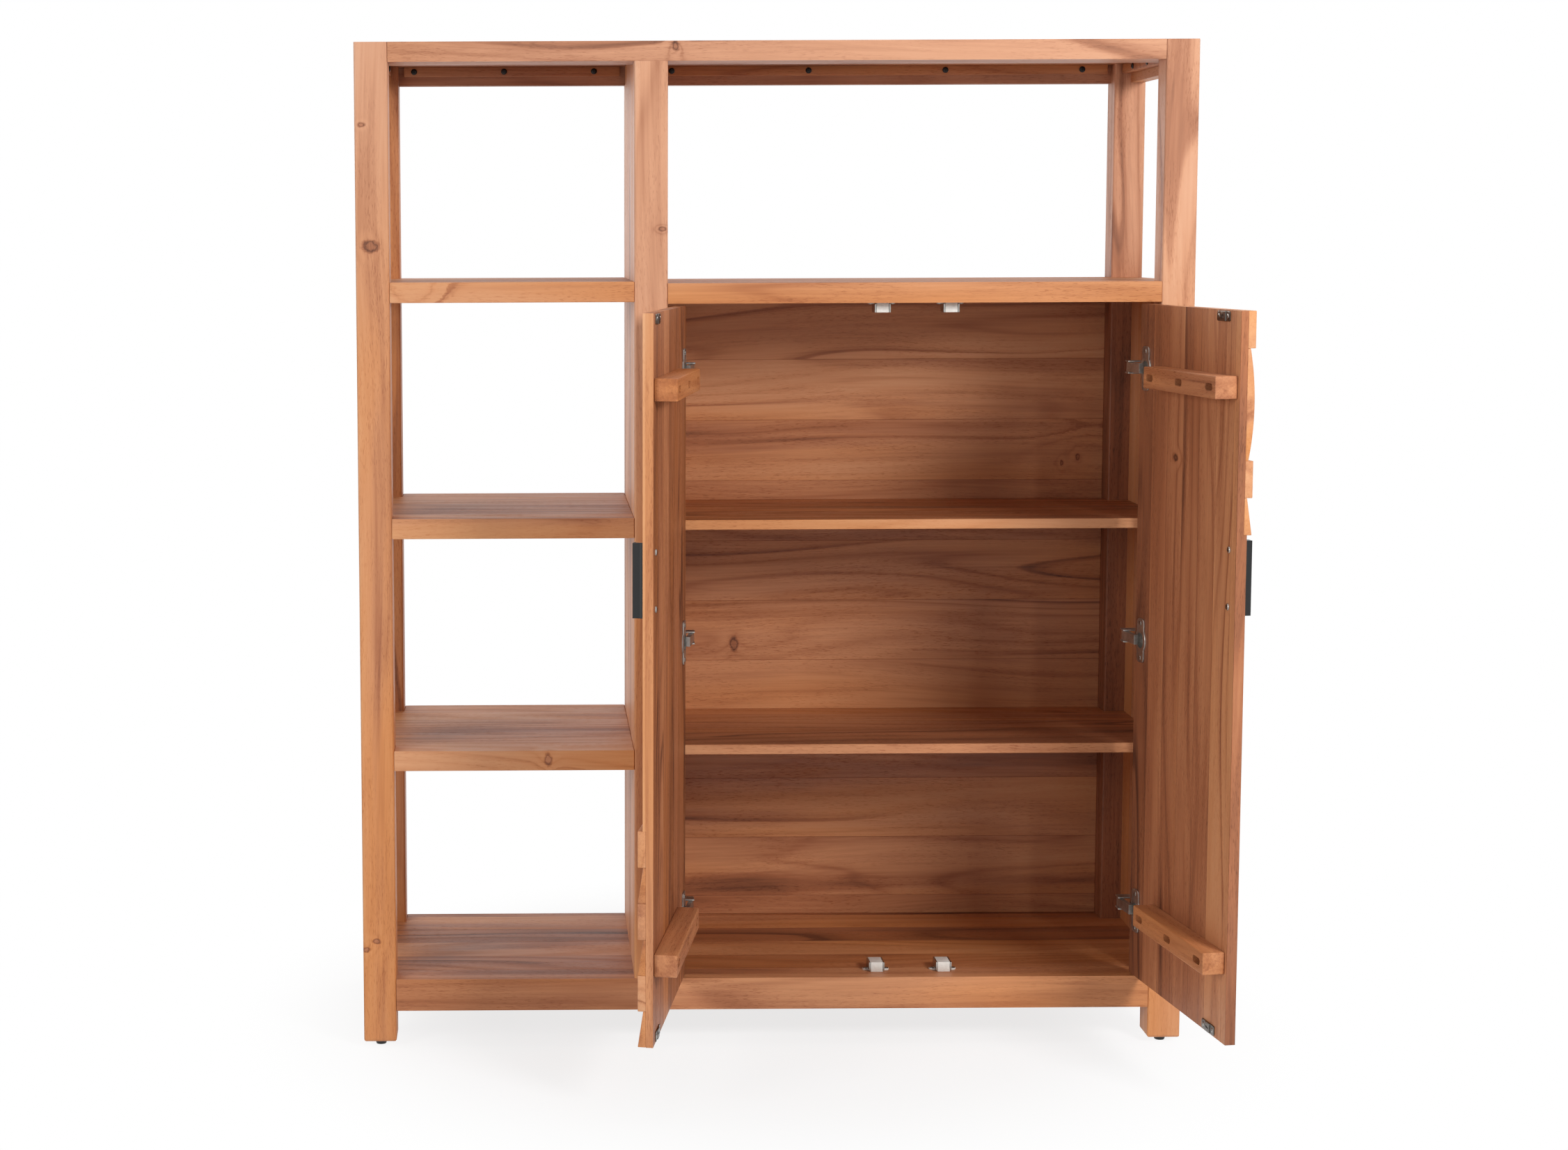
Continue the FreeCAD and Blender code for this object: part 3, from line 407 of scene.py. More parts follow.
    # Colour
    cast = shader.total(feature("cast"), (PINKNESS["smoky"], smoky), red)
    if knots:
        cast = shader.total(cast, (PINKNESS["heart"], heart))
    colour = shader.mix(cast, shader.ramp(lightness, ORANGE), shader.ramp(lightness, PINK))
    # Painted sheen: towards one end of the grain the colour turns to the pale sheen colours
    if pale:
        colour = shader.mix(shader.step(along, *pale), colour, shader.ramp(lightness, PAINTED_SHEEN))
    shader.set(Base_Color=colour)

    # Oiled surface with open pores and fibre
    shader.set(Specular_IOR_Level=WOOD_SPECULAR, Roughness=shader.total(
        (ROUGHNESS["pore"], pore), (ROUGHNESS["wave"], wave), (ROUGHNESS["fibre"], fibre), PLAIN_ROUGHNESS))
    relief = [(HEIGHT["pore"], pore), (HEIGHT["fibre"], fibre), (HEIGHT["lines"], lines)]
    if staves:
        relief.append((HEIGHT["seam"], seam))
    shader.bump(shader.total(*relief), WOOD_BUMP, WOOD_BUMP_STRENGTH)
    return shader.material


def speckled(name, dark, pale, rough, metallic=0.0, relief=0.1):
    """Metal, paint or plastic whose tone, gloss and surface vary a little from place to place."""
    shader = Shader(name)
    place = shader.object_place()
    cloud = shader.noise(place, CLOUD_SCALE, CLOUD_DETAIL)
    speck = shader.noise(place, SPECK_SCALE, SPECK_DETAIL)
    mixed = shader.total((CLOUD_SHARE, cloud), (SPECK_SHARE, speck))
    smooth, coarse = rough
    shader.set(
        Base_Color=shader.ramp(mixed, [(TONE_LOW, dark), (TONE_HIGH, pale)]),
        Roughness=shader.total((coarse - smooth, mixed), smooth),
        Metallic=metallic)
    shader.bump(speck, SPECK_BUMP, relief)
    return shader.material


# Eased edges of CAD solids
WELD_REACH = 0.00002
EASE_ANGLE = math.radians(40)
EASE_SEGMENTS = 3


def dress(node, material, ease=None):
    """Gives a CAD node its material, and eased edges where the solid has sharp ones."""
    part = cad[node]
    part.data.materials.clear()
    part.data.materials.append(material)
    if ease:
        weld = part.modifiers.new("weld", "WELD")
        weld.merge_threshold = WELD_REACH
        bevel = part.modifiers.new("ease", "BEVEL")
        bevel.width = ease
        bevel.segments = EASE_SEGMENTS
        bevel.limit_method = "ANGLE"
        bevel.angle_limit = EASE_ANGLE
        bevel.use_clamp_overlap = True
        part.modifiers.new("normals", "WEIGHTED_NORMAL")


# Grain directions
UPRIGHT = "ZXY"
LENGTHWISE = "XZY"
FLAT = "XYZ"
CROSSWISE = "YZX"
SIDE_UPRIGHT = "ZYX"

# Staves as (width, first seam), front strips of painted light and shade by their inner edge, and the eased
# edge of boards
SHELF_STAVES = (0.058, -0.175)
BACK_STAVES = (0.0915, 0.2185)
DOOR_STAVES = (0.054, 0.012)
PANEL_STAVES = (0.072, -0.132)
SHELF_LIP, INNER_LIP, DOOR_LIP = -0.172, -0.112, 0.3265
EDGE = 0.0012

WOODWORK = {
    # The front posts' upper parts and the top rails turn to the pale sheen colours: painted sheen
    "front_left_post": dict(
        axes=UPRIGHT, tone=0.07, pale=(0.95, 1.40), knots=[
            (1.2885, -0.5656, 0.0027), (1.124, -0.554, 0.0062),
            (0.153, -0.556, 0.003), (0.141, -0.571, 0.003)]),
    "front_middle_post": dict(
        axes=UPRIGHT, tone=0.07, pale=(0.60, 1.05), knots=[(1.146, -0.1554, 0.0026)]),
    "front_right_post": dict(axes=UPRIGHT, tone=0.05, pale=(0.60, 1.25), smoke=0.3),
    "rear_left_post": dict(axes=UPRIGHT, tone=-0.06),
    "rear_middle_post": dict(axes=UPRIGHT, tone=-0.05),
    # The rear right post is toned dark as painted shade in the cabinet's corner, its upper part painted
    # lighter as lit
    "rear_right_post": dict(axes=UPRIGHT, tone=-0.24, pale=(0.95, 1.15), rise=0.22, red=0.3),
    "top_front_rail": dict(
        axes=LENGTHWISE, tone=-0.06, pale=(-0.9, -0.3), knots=[(-0.138, 1.393, 0.0036)], shallow=True),
    "top_rear_rail": dict(axes=LENGTHWISE, tone=-0.10, pale=(-0.9, -0.7)),
    "top_left_rail": dict(axes=CROSSWISE),
    "top_right_rail": dict(axes=CROSSWISE),
    "bottom_front_rail": dict(axes=LENGTHWISE, tone=-0.10, figure=1.9),
    "bottom_rear_rail": dict(axes=LENGTHWISE, tone=-0.04),
    "bottom_left_rail": dict(axes=CROSSWISE),
    "bottom_right_rail": dict(axes=CROSSWISE),
    "top_panel": dict(axes=FLAT, staves=PANEL_STAVES),
    # The bottom panel is toned darker as painted shade inside the cabinet
    "bottom_panel": dict(axes=FLAT, staves=PANEL_STAVES, tone=-0.11),
    "back_panel": dict(
        axes=LENGTHWISE, staves=BACK_STAVES, tone=-0.03, red=0.5,
        knots=[(-0.028, 0.518, 0.005), (0.491, 0.801, 0.0025), (0.467, 0.792, 0.002)],
        swirls=[(0.52, 0.835, 0.022)]),
    "right_side_panel": dict(axes=SIDE_UPRIGHT, staves=PANEL_STAVES),
    "middle_divider": dict(axes=SIDE_UPRIGHT, staves=PANEL_STAVES),
    "left_upper_shelf": dict(
        axes=FLAT, staves=SHELF_STAVES, swirls=[(-0.496, 1.062, 0.012)], on_edge=True,
        lip=(SHELF_LIP, 0.19), red=0.4),
    "left_middle_shelf": dict(axes=FLAT, staves=SHELF_STAVES, tone=-0.04, lip=(SHELF_LIP, 0.30)),
    "left_lower_shelf": dict(
        axes=FLAT, staves=SHELF_STAVES, knots=[(-0.314, 0.411, 0.0045)], on_edge=True,
        lip=(SHELF_LIP, 0.12)),
    "cabinet_top_shelf": dict(axes=FLAT, staves=SHELF_STAVES, lip=(SHELF_LIP, 0.22)),
    # The cabinet's inner shelves are toned darker as painted shade inside the cabinet, their front strips
    # painted lighter as lit
    "cabinet_upper_shelf": dict(axes=FLAT, staves=SHELF_STAVES, tone=-0.15, red=0.3, lip=(INNER_LIP, 0.22)),
    "cabinet_lower_shelf": dict(axes=FLAT, staves=SHELF_STAVES, tone=-0.17, red=0.3, lip=(INNER_LIP, 0.26)),
    # The left door board is toned darker as painted shade on its inner face; its outer face is painted back
    # paler and its free edge painted lighter as lit
    "left_door_board": dict(
        axes=UPRIGHT, staves=DOOR_STAVES, door="left", tone=-0.21, red=0.2, lip=(DOOR_LIP, 0.26),
        outside=0.17),
    # The right door's hinge side and free edge are painted darker as shade
    "right_door_board": dict(
        axes=UPRIGHT, staves=DOOR_STAVES, door="right", tone=-0.03, red=0.75, lip=(-DOOR_LIP, -0.24),
        hinge_side_shade=(-0.22, -0.05, 0.19), knots=[(0.840, -0.126, 0.0036)]),
    "rail_dowels": dict(axes=LENGTHWISE, tone=0.1),
}
for node, look in WOODWORK.items():
    is_round = "post" in node or node == "rail_dowels"
    dress(node, wood(node, **look), None if is_round else EDGE)

nickel = speckled("nickel", (150, 146, 140), (190, 187, 182), (0.22, 0.38), metallic=1.0)
dark_nickel = speckled("dark_nickel", (92, 88, 84), (132, 127, 122), (0.22, 0.36), metallic=1.0)
satin_nickel = speckled("satin_nickel", (158, 153, 147), (196, 191, 185), (0.30, 0.48), metallic=0.95)
black_steel = speckled("black_steel", (16, 15, 15), (34, 33, 32), (0.30, 0.48), metallic=0.3)
handle_black = speckled("handle_black", (5, 5, 6), (13, 13, 15), (0.38, 0.54), relief=0.3)
white_plastic = speckled("white_plastic", (214, 211, 204), (230, 228, 222), (0.36, 0.50), relief=0.05)
glide_black = speckled("glide_black", (20, 19, 19), (38, 37, 36), (0.45, 0.62), relief=0.2)

# Doors, in millimetres of the closed door
AXIS_INSET, AXIS_DEPTH = 6.0, 4.5
DOOR_WIDTH, DOOR_LOW, DOOR_TOP = 334.0, 101.0, 1041.0
INNER_FACE = 20.0


def door_matrix(side):
    """Places a closed door's own coordinates, from its hinge axis, where the open door stands."""
    axis, turn = DOOR_AXES[side]
    return Matrix.Translation(axis) @ Matrix.Rotation(turn, 4, "Z")


def door_point(side, u, v, z):
    """Point on a closed door: u mm from its hinge edge, v behind the relief face, z above the floor."""
    across = (u - AXIS_INSET) * DOOR_RUN[side]
    return Vector((across * MM, (v - AXIS_DEPTH) * MM, z * MM))


def facing_inside(side, u, z):
    """Stands a solid made in x and y on a door's inner face, its front to the cabinet."""
    seat = door_point(side, u, INNER_FACE, z)
    stand = Matrix(((1, 0, 0, seat.x), (0, 0, 1, seat.y), (0, -1, 0, seat.z), (0, 0, 0, 1)))
    return door_matrix(side) @ stand


# Edges of made solids
BEVEL_ANGLE = math.radians(30)
SMOOTH_ANGLE = math.radians(32)
CORNER_STEPS = 6


def prism(outline, depth, ease=0.0, segments=2):
    """Solid from a flat outline in x and y, from z 0 to depth, with eased edges."""
    solid = bmesh.new()
    ring = [solid.verts.new((x, y, 0.0)) for x, y in outline]
    face = solid.faces.new(ring)
    grown = bmesh.ops.extrude_face_region(solid, geom=[face])["geom"]
    moved = [item for item in grown if isinstance(item, bmesh.types.BMVert)]
    bmesh.ops.translate(solid, verts=moved, vec=(0.0, 0.0, depth))
    bmesh.ops.recalc_face_normals(solid, faces=solid.faces)
    if ease:
        sharp = [edge for edge in solid.edges if edge.calc_face_angle(0.0) > BEVEL_ANGLE]
        bmesh.ops.bevel(
            solid, geom=sharp, offset=ease, segments=segments, profile=0.5, affect="EDGES",
            clamp_overlap=True)
    return solid


def rounded_outline(width, height, radius, steps=CORNER_STEPS):
    """Outline of a rectangle with round corners about the origin."""
    outline = []
    for quarter, (x, y) in enumerate(((1, 1), (-1, 1), (-1, -1), (1, -1))):
        for step in range(steps + 1):
            angle = math.pi / 2 * (quarter + step / steps)
            outline.append((
                x * (width / 2 - radius) + radius * math.cos(angle),
                y * (height / 2 - radius) + radius * math.sin(angle)))
    return outline


def plate(width, height, thickness, radius, ease):
    """Plate with round corners about the origin, its back on z 0, sizes in millimetres."""
    return prism(rounded_outline(width * MM, height * MM, radius * MM), thickness * MM, ease * MM)


def lathe(profile, steps):
    """Solid of revolution about z from (radius, height) points, the first and last on the axis."""
    solid = bmesh.new()
    angles = [math.tau * step / steps for step in range(steps)]
    rings = []
    for radius, height in profile:
        if radius == 0:
            rings.append([solid.verts.new((0.0, 0.0, height))])
            continue
        points = [(radius * math.cos(angle), radius * math.sin(angle), height) for angle in angles]
        rings.append([solid.verts.new(point) for point in points])
    for low, high in zip(rings, rings[1:]):
        for step in range(steps):
            after = (step + 1) % steps
            corners = [
                low[step % len(low)], low[after % len(low)],
                high[after % len(high)], high[step % len(high)]]
            solid.faces.new(list(dict.fromkeys(corners)))
    bmesh.ops.recalc_face_normals(solid, faces=solid.faces)
    return solid


def combined(solid, others, operation):
    """A bmesh solid after others are cut from it or joined to it."""
    def holder(source):
        mesh = bpy.data.meshes.new("blank")
        source.to_mesh(mesh)
        made = bpy.data.objects.new("blank", mesh)
        bpy.context.collection.objects.link(made)
        return made
    base = holder(solid)
    tools = [holder(other) for other in others]
    for tool in tools:
        step = base.modifiers.new("combine", "BOOLEAN")
        step.object = tool
        step.operation = operation
        step.solver = "EXACT"
    graph = bpy.context.evaluated_depsgraph_get()
    mesh = bpy.data.meshes.new_from_object(base.evaluated_get(graph))
    result = bmesh.new()
    result.from_mesh(mesh)
    for made in (base, *tools):
        bpy.data.objects.remove(made)
    return result


def merged(solids):
    """One bmesh from (bmesh, matrix) pairs."""
    result = bmesh.new()
    for solid, matrix in solids:
        mesh = bpy.data.meshes.new("part")
        solid.to_mesh(mesh)
        mesh.transform(matrix)
        result.from_mesh(mesh)
        bpy.data.meshes.remove(mesh)
    return result


def piece(name, solid, material, body, node, matrix=None):
    """Shows a bmesh as a piece that rides on a body and stands for a CAD node."""
    mesh = bpy.data.meshes.new(name)
    solid.to_mesh(mesh)
    if matrix is not None:
        mesh.transform(matrix)
    mesh.polygons.foreach_set("use_smooth", [True] * len(mesh.polygons))
    mesh.set_sharp_from_angle(angle=SMOOTH_ANGLE)
    mesh.materials.append(material)
    made = bpy.data.objects.new(name, mesh)
    bpy.context.collection.objects.link(made)
    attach(made, body)
    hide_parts(node)
    return made


# Relief blocks, in millimetres
RELIEF_ROW, RELIEF_COLUMN, RELIEF_DEPTH, RELIEF_PROUD = 47.0, 66.8, 10.5, 6.5
WEDGE_THIN = 3.5
BULGE_STEPS = 24
BLOCK_EASE = 0.9
BLOCK_TONES = (-0.07, -0.02, 0.03, 0.07)

# Relief blocks as (first row, rows, first column, columns, form), columns counted from the free edge.
# The left door's rows count up from its lower edge, the right door's down from its upper edge.
RELIEF = {
    "left": [
        (0, 1, 0, 2, "wedge"), (0, 1, 2, 2, "flat"), (1, 1, 0, 1, "flat"), (1, 1, 1, 2, "wedge"),
        (2, 1, 0, 2, "wedge"), (2, 1, 2, 1, "flat"), (3, 1, 0, 1, "flat"), (3, 1, 1, 1, "wedge"),
        (4, 1, 0, 2, "wedge"), (5, 1, 0, 1, "flat"),
    ],
    "right": [
        (0, 1, 0, 3, "flat"), (0, 1, 3, 1, "wedge"), (1, 3, 0, 2, "bulge"), (1, 1, 2, 1, "wedge"),
        (2, 1, 2, 2, "flat"), (3, 1, 2, 1, "wedge"), (4, 1, 0, 1, "flat"), (4, 1, 1, 2, "wedge"),
        (5, 1, 0, 2, "wedge"),
    ],
}

# Battens and their slotted screw holes, in millimetres
BATTEN_LOW_U, BATTEN_HIGH_U, BATTEN_DEPTH, BATTEN_HEIGHT = 88.0, 328.0, 30.0, 29.0
BATTEN_EASE, BATTEN_SEGMENTS = 1.5, 4
BATTEN_HEIGHTS = {"lower": 207.0, "upper": 945.0}
BATTEN_TONE, BATTEN_FIGURE = -0.11, 1.8
SLOT_PLACES = (109.0, 208.0, 307.0)
SLOT_LENGTH, SLOT_HEIGHT, SLOT_DEPTH = 23.0, 9.5, 15.0

# A hair under half the slot's height, so that no two points of its outline fall together
SLOT_ROUND = SLOT_HEIGHT / 2.001


def block_profile(height, form):
    """Side view of a relief block as (v, z) points, z from its lower edge."""
    if form == "flat":
        front = [(0.0, 0.0), (0.0, height)]
    elif form == "wedge":
        front = [(0.0, 0.0), (RELIEF_DEPTH - WEDGE_THIN, height)]
    else:
        rise = height / 2
        radius = (rise * rise + RELIEF_PROUD * RELIEF_PROUD) / (2 * RELIEF_PROUD)
        heights = [height * step / BULGE_STEPS for step in range(BULGE_STEPS + 1)]
        front = [(radius - math.sqrt(radius * radius - (z - rise) ** 2), z) for z in heights]
    return [(RELIEF_DEPTH, 0.0), *front, (RELIEF_DEPTH, height)]


def show_relief(side):
    """A door's relief blocks, each in one of a few tones."""
    woods = [
        wood(f"{side}_block_wood_{number}", LENGTHWISE, door=side, tone=tone)
        for number, tone in enumerate(BLOCK_TONES)
    ]
    run = DOOR_RUN[side]
    shuffle = random.Random(f"{side} blocks")
    for number, (row, rows, column, columns, form) in enumerate(RELIEF[side]):
        low = DOOR_LOW + row * RELIEF_ROW if side == "left" else DOOR_TOP - (row + rows) * RELIEF_ROW
        outline = [(v * MM, z * MM) for v, z in block_profile(rows * RELIEF_ROW, form)]
        block = prism(outline, columns * RELIEF_COLUMN * MM, BLOCK_EASE * MM)
        start = door_point(side, DOOR_WIDTH - (column + columns) * RELIEF_COLUMN, 0.0, low)
        stand = Matrix(((0, 0, run, start.x), (1, 0, 0, start.y), (0, 1, 0, start.z), (0, 0, 0, 1)))
        made = piece(
            f"{side}_door_block_{number}", block, shuffle.choice(woods), f"{side}_door",
            f"{side}_door_relief", door_matrix(side) @ stand)
        if run < 0:
            made.data.flip_normals()


def show_battens(side):
    """A door's two battens, each with three slotted screw holes."""
    batten_wood = wood(
        f"{side}_batten_wood", LENGTHWISE, door=side, tone=BATTEN_TONE, figure=BATTEN_FIGURE)
    half = (BATTEN_HIGH_U - BATTEN_LOW_U) * MM / 2
    tall = BATTEN_HEIGHT / 2 * MM
    outline = [(-half, -tall), (half, -tall), (half, tall), (-half, tall)]
    middle = (BATTEN_LOW_U + BATTEN_HIGH_U) / 2
    slots = []
    for place in SLOT_PLACES:
        rounded = rounded_outline(SLOT_LENGTH * MM, SLOT_HEIGHT * MM, SLOT_ROUND * MM)
        slot = prism(rounded, 2 * SLOT_DEPTH * MM)
        shift = (place - middle) * MM * DOOR_RUN[side]
        slot.transform(Matrix.Translation((shift, 0.0, (BATTEN_DEPTH - SLOT_DEPTH) * MM)))
        slots.append(slot)
    bar = combined(
        prism(outline, BATTEN_DEPTH * MM, BATTEN_EASE * MM, BATTEN_SEGMENTS), slots, "DIFFERENCE")
    for level, centre in BATTEN_HEIGHTS.items():
        piece(
            f"{side}_door_{level}_bar", bar, batten_wood, f"{side}_door",
            f"{side}_door_{level}_batten", facing_inside(side, middle, centre))


for side in RELIEF:
    show_relief(side)
    show_battens(side)


def solids_of(node, matrix):
    """Corner points of each separate solid of a CAD node, in the coordinates of a placing matrix."""
    mesh = cad[node].data
    back = matrix.inverted()
    owner = {}
    keys = [tuple(round(value, 5) for value in vertex.co) for vertex in mesh.vertices]

    def head(key):
        while owner.setdefault(key, key) != key:
            key = owner[key]
        return key

    for polygon in mesh.polygons:
        first = head(keys[polygon.vertices[0]])
        for index in polygon.vertices[1:]:
            owner[head(keys[index])] = first
    found = {}
    for vertex, key in zip(mesh.vertices, keys):
        found.setdefault(head(key), []).append(back @ vertex.co)
    return list(found.values())


def extent(points):
    """Lowest and highest corner of the box round some points."""
    low = Vector([min(point[axis] for point in points) for axis in range(3)])
    high = Vector([max(point[axis] for point in points) for axis in range(3)])
    return low, high


# Screws: head height and shank radius in millimetres, and the turn from one screw's recess to the next
PAN_SCREW = (2.4, 2.0)
SMALL_SCREW = (1.2, 1.6)
SCREW_SPIN = math.radians(37)
SCREW_STEPS = 28
END_SLACK = 0.0003

# Screw head as shares of its radius and height, and the two arms of its cross recess
HEAD_PROFILE = [
    (0.0, 0.0), (0.35, -0.02), (0.62, -0.10), (0.84, -0.26), (0.97, -0.50), (1.0, -0.72), (0.99, -1.0),
]
RECESS_ARMS = ((0.22, 1.15), (1.15, 0.22))
RECESS_ROUND, RECESS_ROUND_STEPS, RECESS_DEPTH = 0.09, 3, 0.62


def end_spread(points, centre, axis, end):
    """How far a screw reaches sideways at one of its ends."""
    near = [point for point in points if abs(point[axis] - end) < END_SLACK]
    return max(math.hypot(*(point[i] - centre[i] for i in range(3) if i != axis)) for point in near)


def screw_stands(node, matrix):
    """(matrix at the top of the head, head radius, length) of each screw in a CAD node."""
    stands = []
    for points in solids_of(node, matrix):
        low, high = extent(points)
        size = high - low
        centre = (low + high) / 2
        axis = list(size).index(max(size))
        low_spread, high_spread = (end_spread(points, centre, axis, end[axis]) for end in (low, high))
        head_is_high = high_spread > low_spread
        top = centre.copy()
        top[axis] = high[axis] if head_is_high else low[axis]
        direction = Vector()
        direction[axis] = 1 if head_is_high else -1
        turn = direction.to_track_quat("Z", "Y").to_matrix().to_4x4()
        radius = min(size[i] for i in range(3) if i != axis) / 2
        stands.append((matrix @ Matrix.Translation(top) @ turn, radius, size[axis]))
    return stands


def screw(radius, head, shank, length):
    """Pan-head screw with a cross recess, its top at z 0."""
    profile = [(r * radius, z * head) for r, z in HEAD_PROFILE]
    profile += [(shank, -head), (shank, shank - length), (0.0, -length)]
    arms = []
    for wide, tall in RECESS_ARMS:
        outline = rounded_outline(wide * radius, tall * radius, RECESS_ROUND * radius, RECESS_ROUND_STEPS)
        arm = prism(outline, head)
        arm.transform(Matrix.Translation((0.0, 0.0, -RECESS_DEPTH * head)))
        arms.append(arm)
    return combined(lathe(profile, SCREW_STEPS), arms, "DIFFERENCE")


def show_screws(node, material, body, slot, head, shank, side=None):
    """Shows each screw of a CAD node with its recess turned another way."""
    matrix = door_matrix(side) if side else Matrix()
    made = {}
    solids = []
    for stand, radius, length in screw_stands(node, matrix):
        kind = (round(radius, 4), round(length, 4))
        if kind not in made:
            made[kind] = screw(radius, head * MM, shank * MM, length)
        spin = Matrix.Rotation(SCREW_SPIN * len(solids), 4, "Z")
        solids.append((made[kind], stand @ spin))
    piece(f"{node}_driven", merged(solids), material, body, node)


# Strikes, in millimetres: a plate with a raised pad and a slot
STRIKE, STRIKE_ROUND, STRIKE_EASE = (40.0, 13.0, 1.4), 3.0, 0.3
PAD_WIDTH, PAD_HEIGHT, PAD_RISE, PAD_ROUND, PAD_EASE = 15.0, 13.0, 1.0, 1.0, 0.35
STRIKE_SLOT, STRIKE_SLOT_ROUND, STRIKE_SLOT_FLOOR = (9.0, 3.0, 3.0), 1.45, 0.2
STRIKE_PLACES = {"left": 295.0, "right": 281.0}
STRIKE_HEIGHTS = (109.0, 1033.0)

# Hinge cups, in millimetres
HINGE_HEIGHTS = (195.0, 577.0, 953.0)
FLANGE, FLANGE_ROUND, FLANGE_EASE = (24.0, 61.0, 2.0), 7.0, 0.4
CUP_EDGE, CUP_RADIUS, CUP_DEPTH, CUP_WALL, CUP_HOLLOW = 22.5, 17.5, 10.8, 1.2, 10.8
CUP_FOOT_EASE, CUP_SHOULDER, CUP_LIP_EASE, CUP_LIP_DROP = 0.6, 1.4, 0.5, 0.1
CUP_STEPS = 40


def strike():
    """Strike plate with its raised pad and slot, its back on z 0."""
    pad = plate(PAD_WIDTH, PAD_HEIGHT, STRIKE[2] + PAD_RISE, PAD_ROUND, PAD_EASE)
    solid = combined(plate(*STRIKE, STRIKE_ROUND, STRIKE_EASE), [pad], "UNION")
    slot = plate(*STRIKE_SLOT, STRIKE_SLOT_ROUND, 0.0)
    slot.transform(Matrix.Translation((0.0, 0.0, (STRIKE[2] + STRIKE_SLOT_FLOOR) * MM)))
    return combined(solid, [slot], "DIFFERENCE")


def hinge_cup():
    """Cup with a flange, its back at z minus the cup's depth and the flange on z 0."""
    lip = FLANGE[2] - CUP_LIP_DROP
    outside = [
        (0.0, -CUP_DEPTH), (CUP_RADIUS - CUP_FOOT_EASE, -CUP_DEPTH), (CUP_RADIUS, CUP_FOOT_EASE - CUP_DEPTH),
        (CUP_RADIUS, CUP_SHOULDER), (CUP_RADIUS - CUP_LIP_EASE, lip), (0.0, lip),
    ]
    floor = CUP_WALL - CUP_DEPTH
    hollow = [(0.0, floor), (CUP_HOLLOW, floor), (CUP_HOLLOW, 2 * FLANGE[2]), (0.0, 2 * FLANGE[2])]
    cup, room = (
        lathe([(radius * MM, height * MM) for radius, height in profile], CUP_STEPS)
        for profile in (outside, hollow))
    solid = combined(plate(*FLANGE, FLANGE_ROUND, FLANGE_EASE), [cup], "UNION")
    return combined(solid, [room], "DIFFERENCE")


def show_door_metal(side):
    """A door's strikes, hinge cups and screws."""
    body = f"{side}_door"
    shape = strike()
    strikes = [(shape, facing_inside(side, STRIKE_PLACES[side], z)) for z in STRIKE_HEIGHTS]
    piece(
        f"{side}_door_strike_plates", merged(strikes), dark_nickel, body,
        f"{side}_door_strikes")
    shape = hinge_cup()
    cups = [(shape, facing_inside(side, CUP_EDGE, z)) for z in HINGE_HEIGHTS]
    piece(f"{side}_door_cups", merged(cups), satin_nickel, body, f"{side}_door_hinge_cups")
    show_screws(f"{side}_door_pan_screws", nickel, body, "nickel_steel", *PAN_SCREW, side)
    show_screws(f"{side}_door_small_screws", nickel, body, "nickel_steel", *SMALL_SCREW, side)


for side in DOOR_AXES:
    show_door_metal(side)
show_screws("cleat_screws", black_steel, "carcass", "black_steel", *PAN_SCREW)
show_screws("fitting_screws", nickel, "carcass", "nickel_steel", *SMALL_SCREW)

# Cleats under the top panel
CLEAT_EASE = 1.0
CLEAT_TONE = -0.08


def show_cleats():
    """The cleats as bars with eased edges."""
    cleats = []
    for points in solids_of("top_cleats", Matrix()):
        low, high = extent(points)
        outline = [(low.x, low.y), (high.x, low.y), (high.x, high.y), (low.x, high.y)]
        bar = prism(outline, high.z - low.z, CLEAT_EASE * MM)
        cleats.append((bar, Matrix.Translation((0, 0, low.z))))
    cleat_wood = wood("cleat_wood", LENGTHWISE, tone=CLEAT_TONE)
    piece("top_cleat_bars", merged(cleats), cleat_wood, "carcass", "top_cleats")


show_cleats()

# Catches, in millimetres: a case with two ears and room at both ends for the steel poles
CATCH, CATCH_ROUND, CATCH_EASE = (18.0, 28.0, 14.0), 1.6, 0.7
EAR, EAR_ROUND, EAR_EASE = (38.0, 10.0, 2.0), 4.9, 0.3
POLE_ROOM, POLE_ROOM_DEPTH, POLE_ROOM_ROUND = 2.2, 12.0, 0.05
POLE_OFFSET = 10.0
CATCH_PLACES = (150.0, 245.0)
CATCH_MIDDLE_Y = -136.5
CABINET_FLOOR, CABINET_CEILING = 98.0, 1044.0


def catch_case():
    """White case of a magnetic catch, its foot on z 0."""
    ears = plate(*EAR, EAR_ROUND, EAR_EASE)
    case = combined(plate(*CATCH, CATCH_ROUND, CATCH_EASE), [ears], "UNION")
    rooms = []
    for end in (-1, 1):
        room = plate(POLE_ROOM, 2 * CATCH[1], 2 * POLE_ROOM_DEPTH, POLE_ROOM_ROUND, 0.0)
        room.transform(Matrix.Translation((end * POLE_OFFSET * MM, 0.0, (CATCH[2] - POLE_ROOM_DEPTH) * MM)))
        rooms.append(room)
    return combined(case, rooms, "DIFFERENCE")


def show_catches():
    """Catch cases under the cabinet's ceiling and on its floor."""
    case = catch_case()
    cases = []
    for x in CATCH_PLACES:
        for z, turn in ((CABINET_CEILING, math.pi), (CABINET_FLOOR, 0.0)):
            stand = Matrix.Translation((x * MM, CATCH_MIDDLE_Y * MM, z * MM))
            cases.append((case, stand @ Matrix.Rotation(turn, 4, "Y")))
    piece("catch_cases", merged(cases), white_plastic, "carcass", "catch_housings")


show_catches()

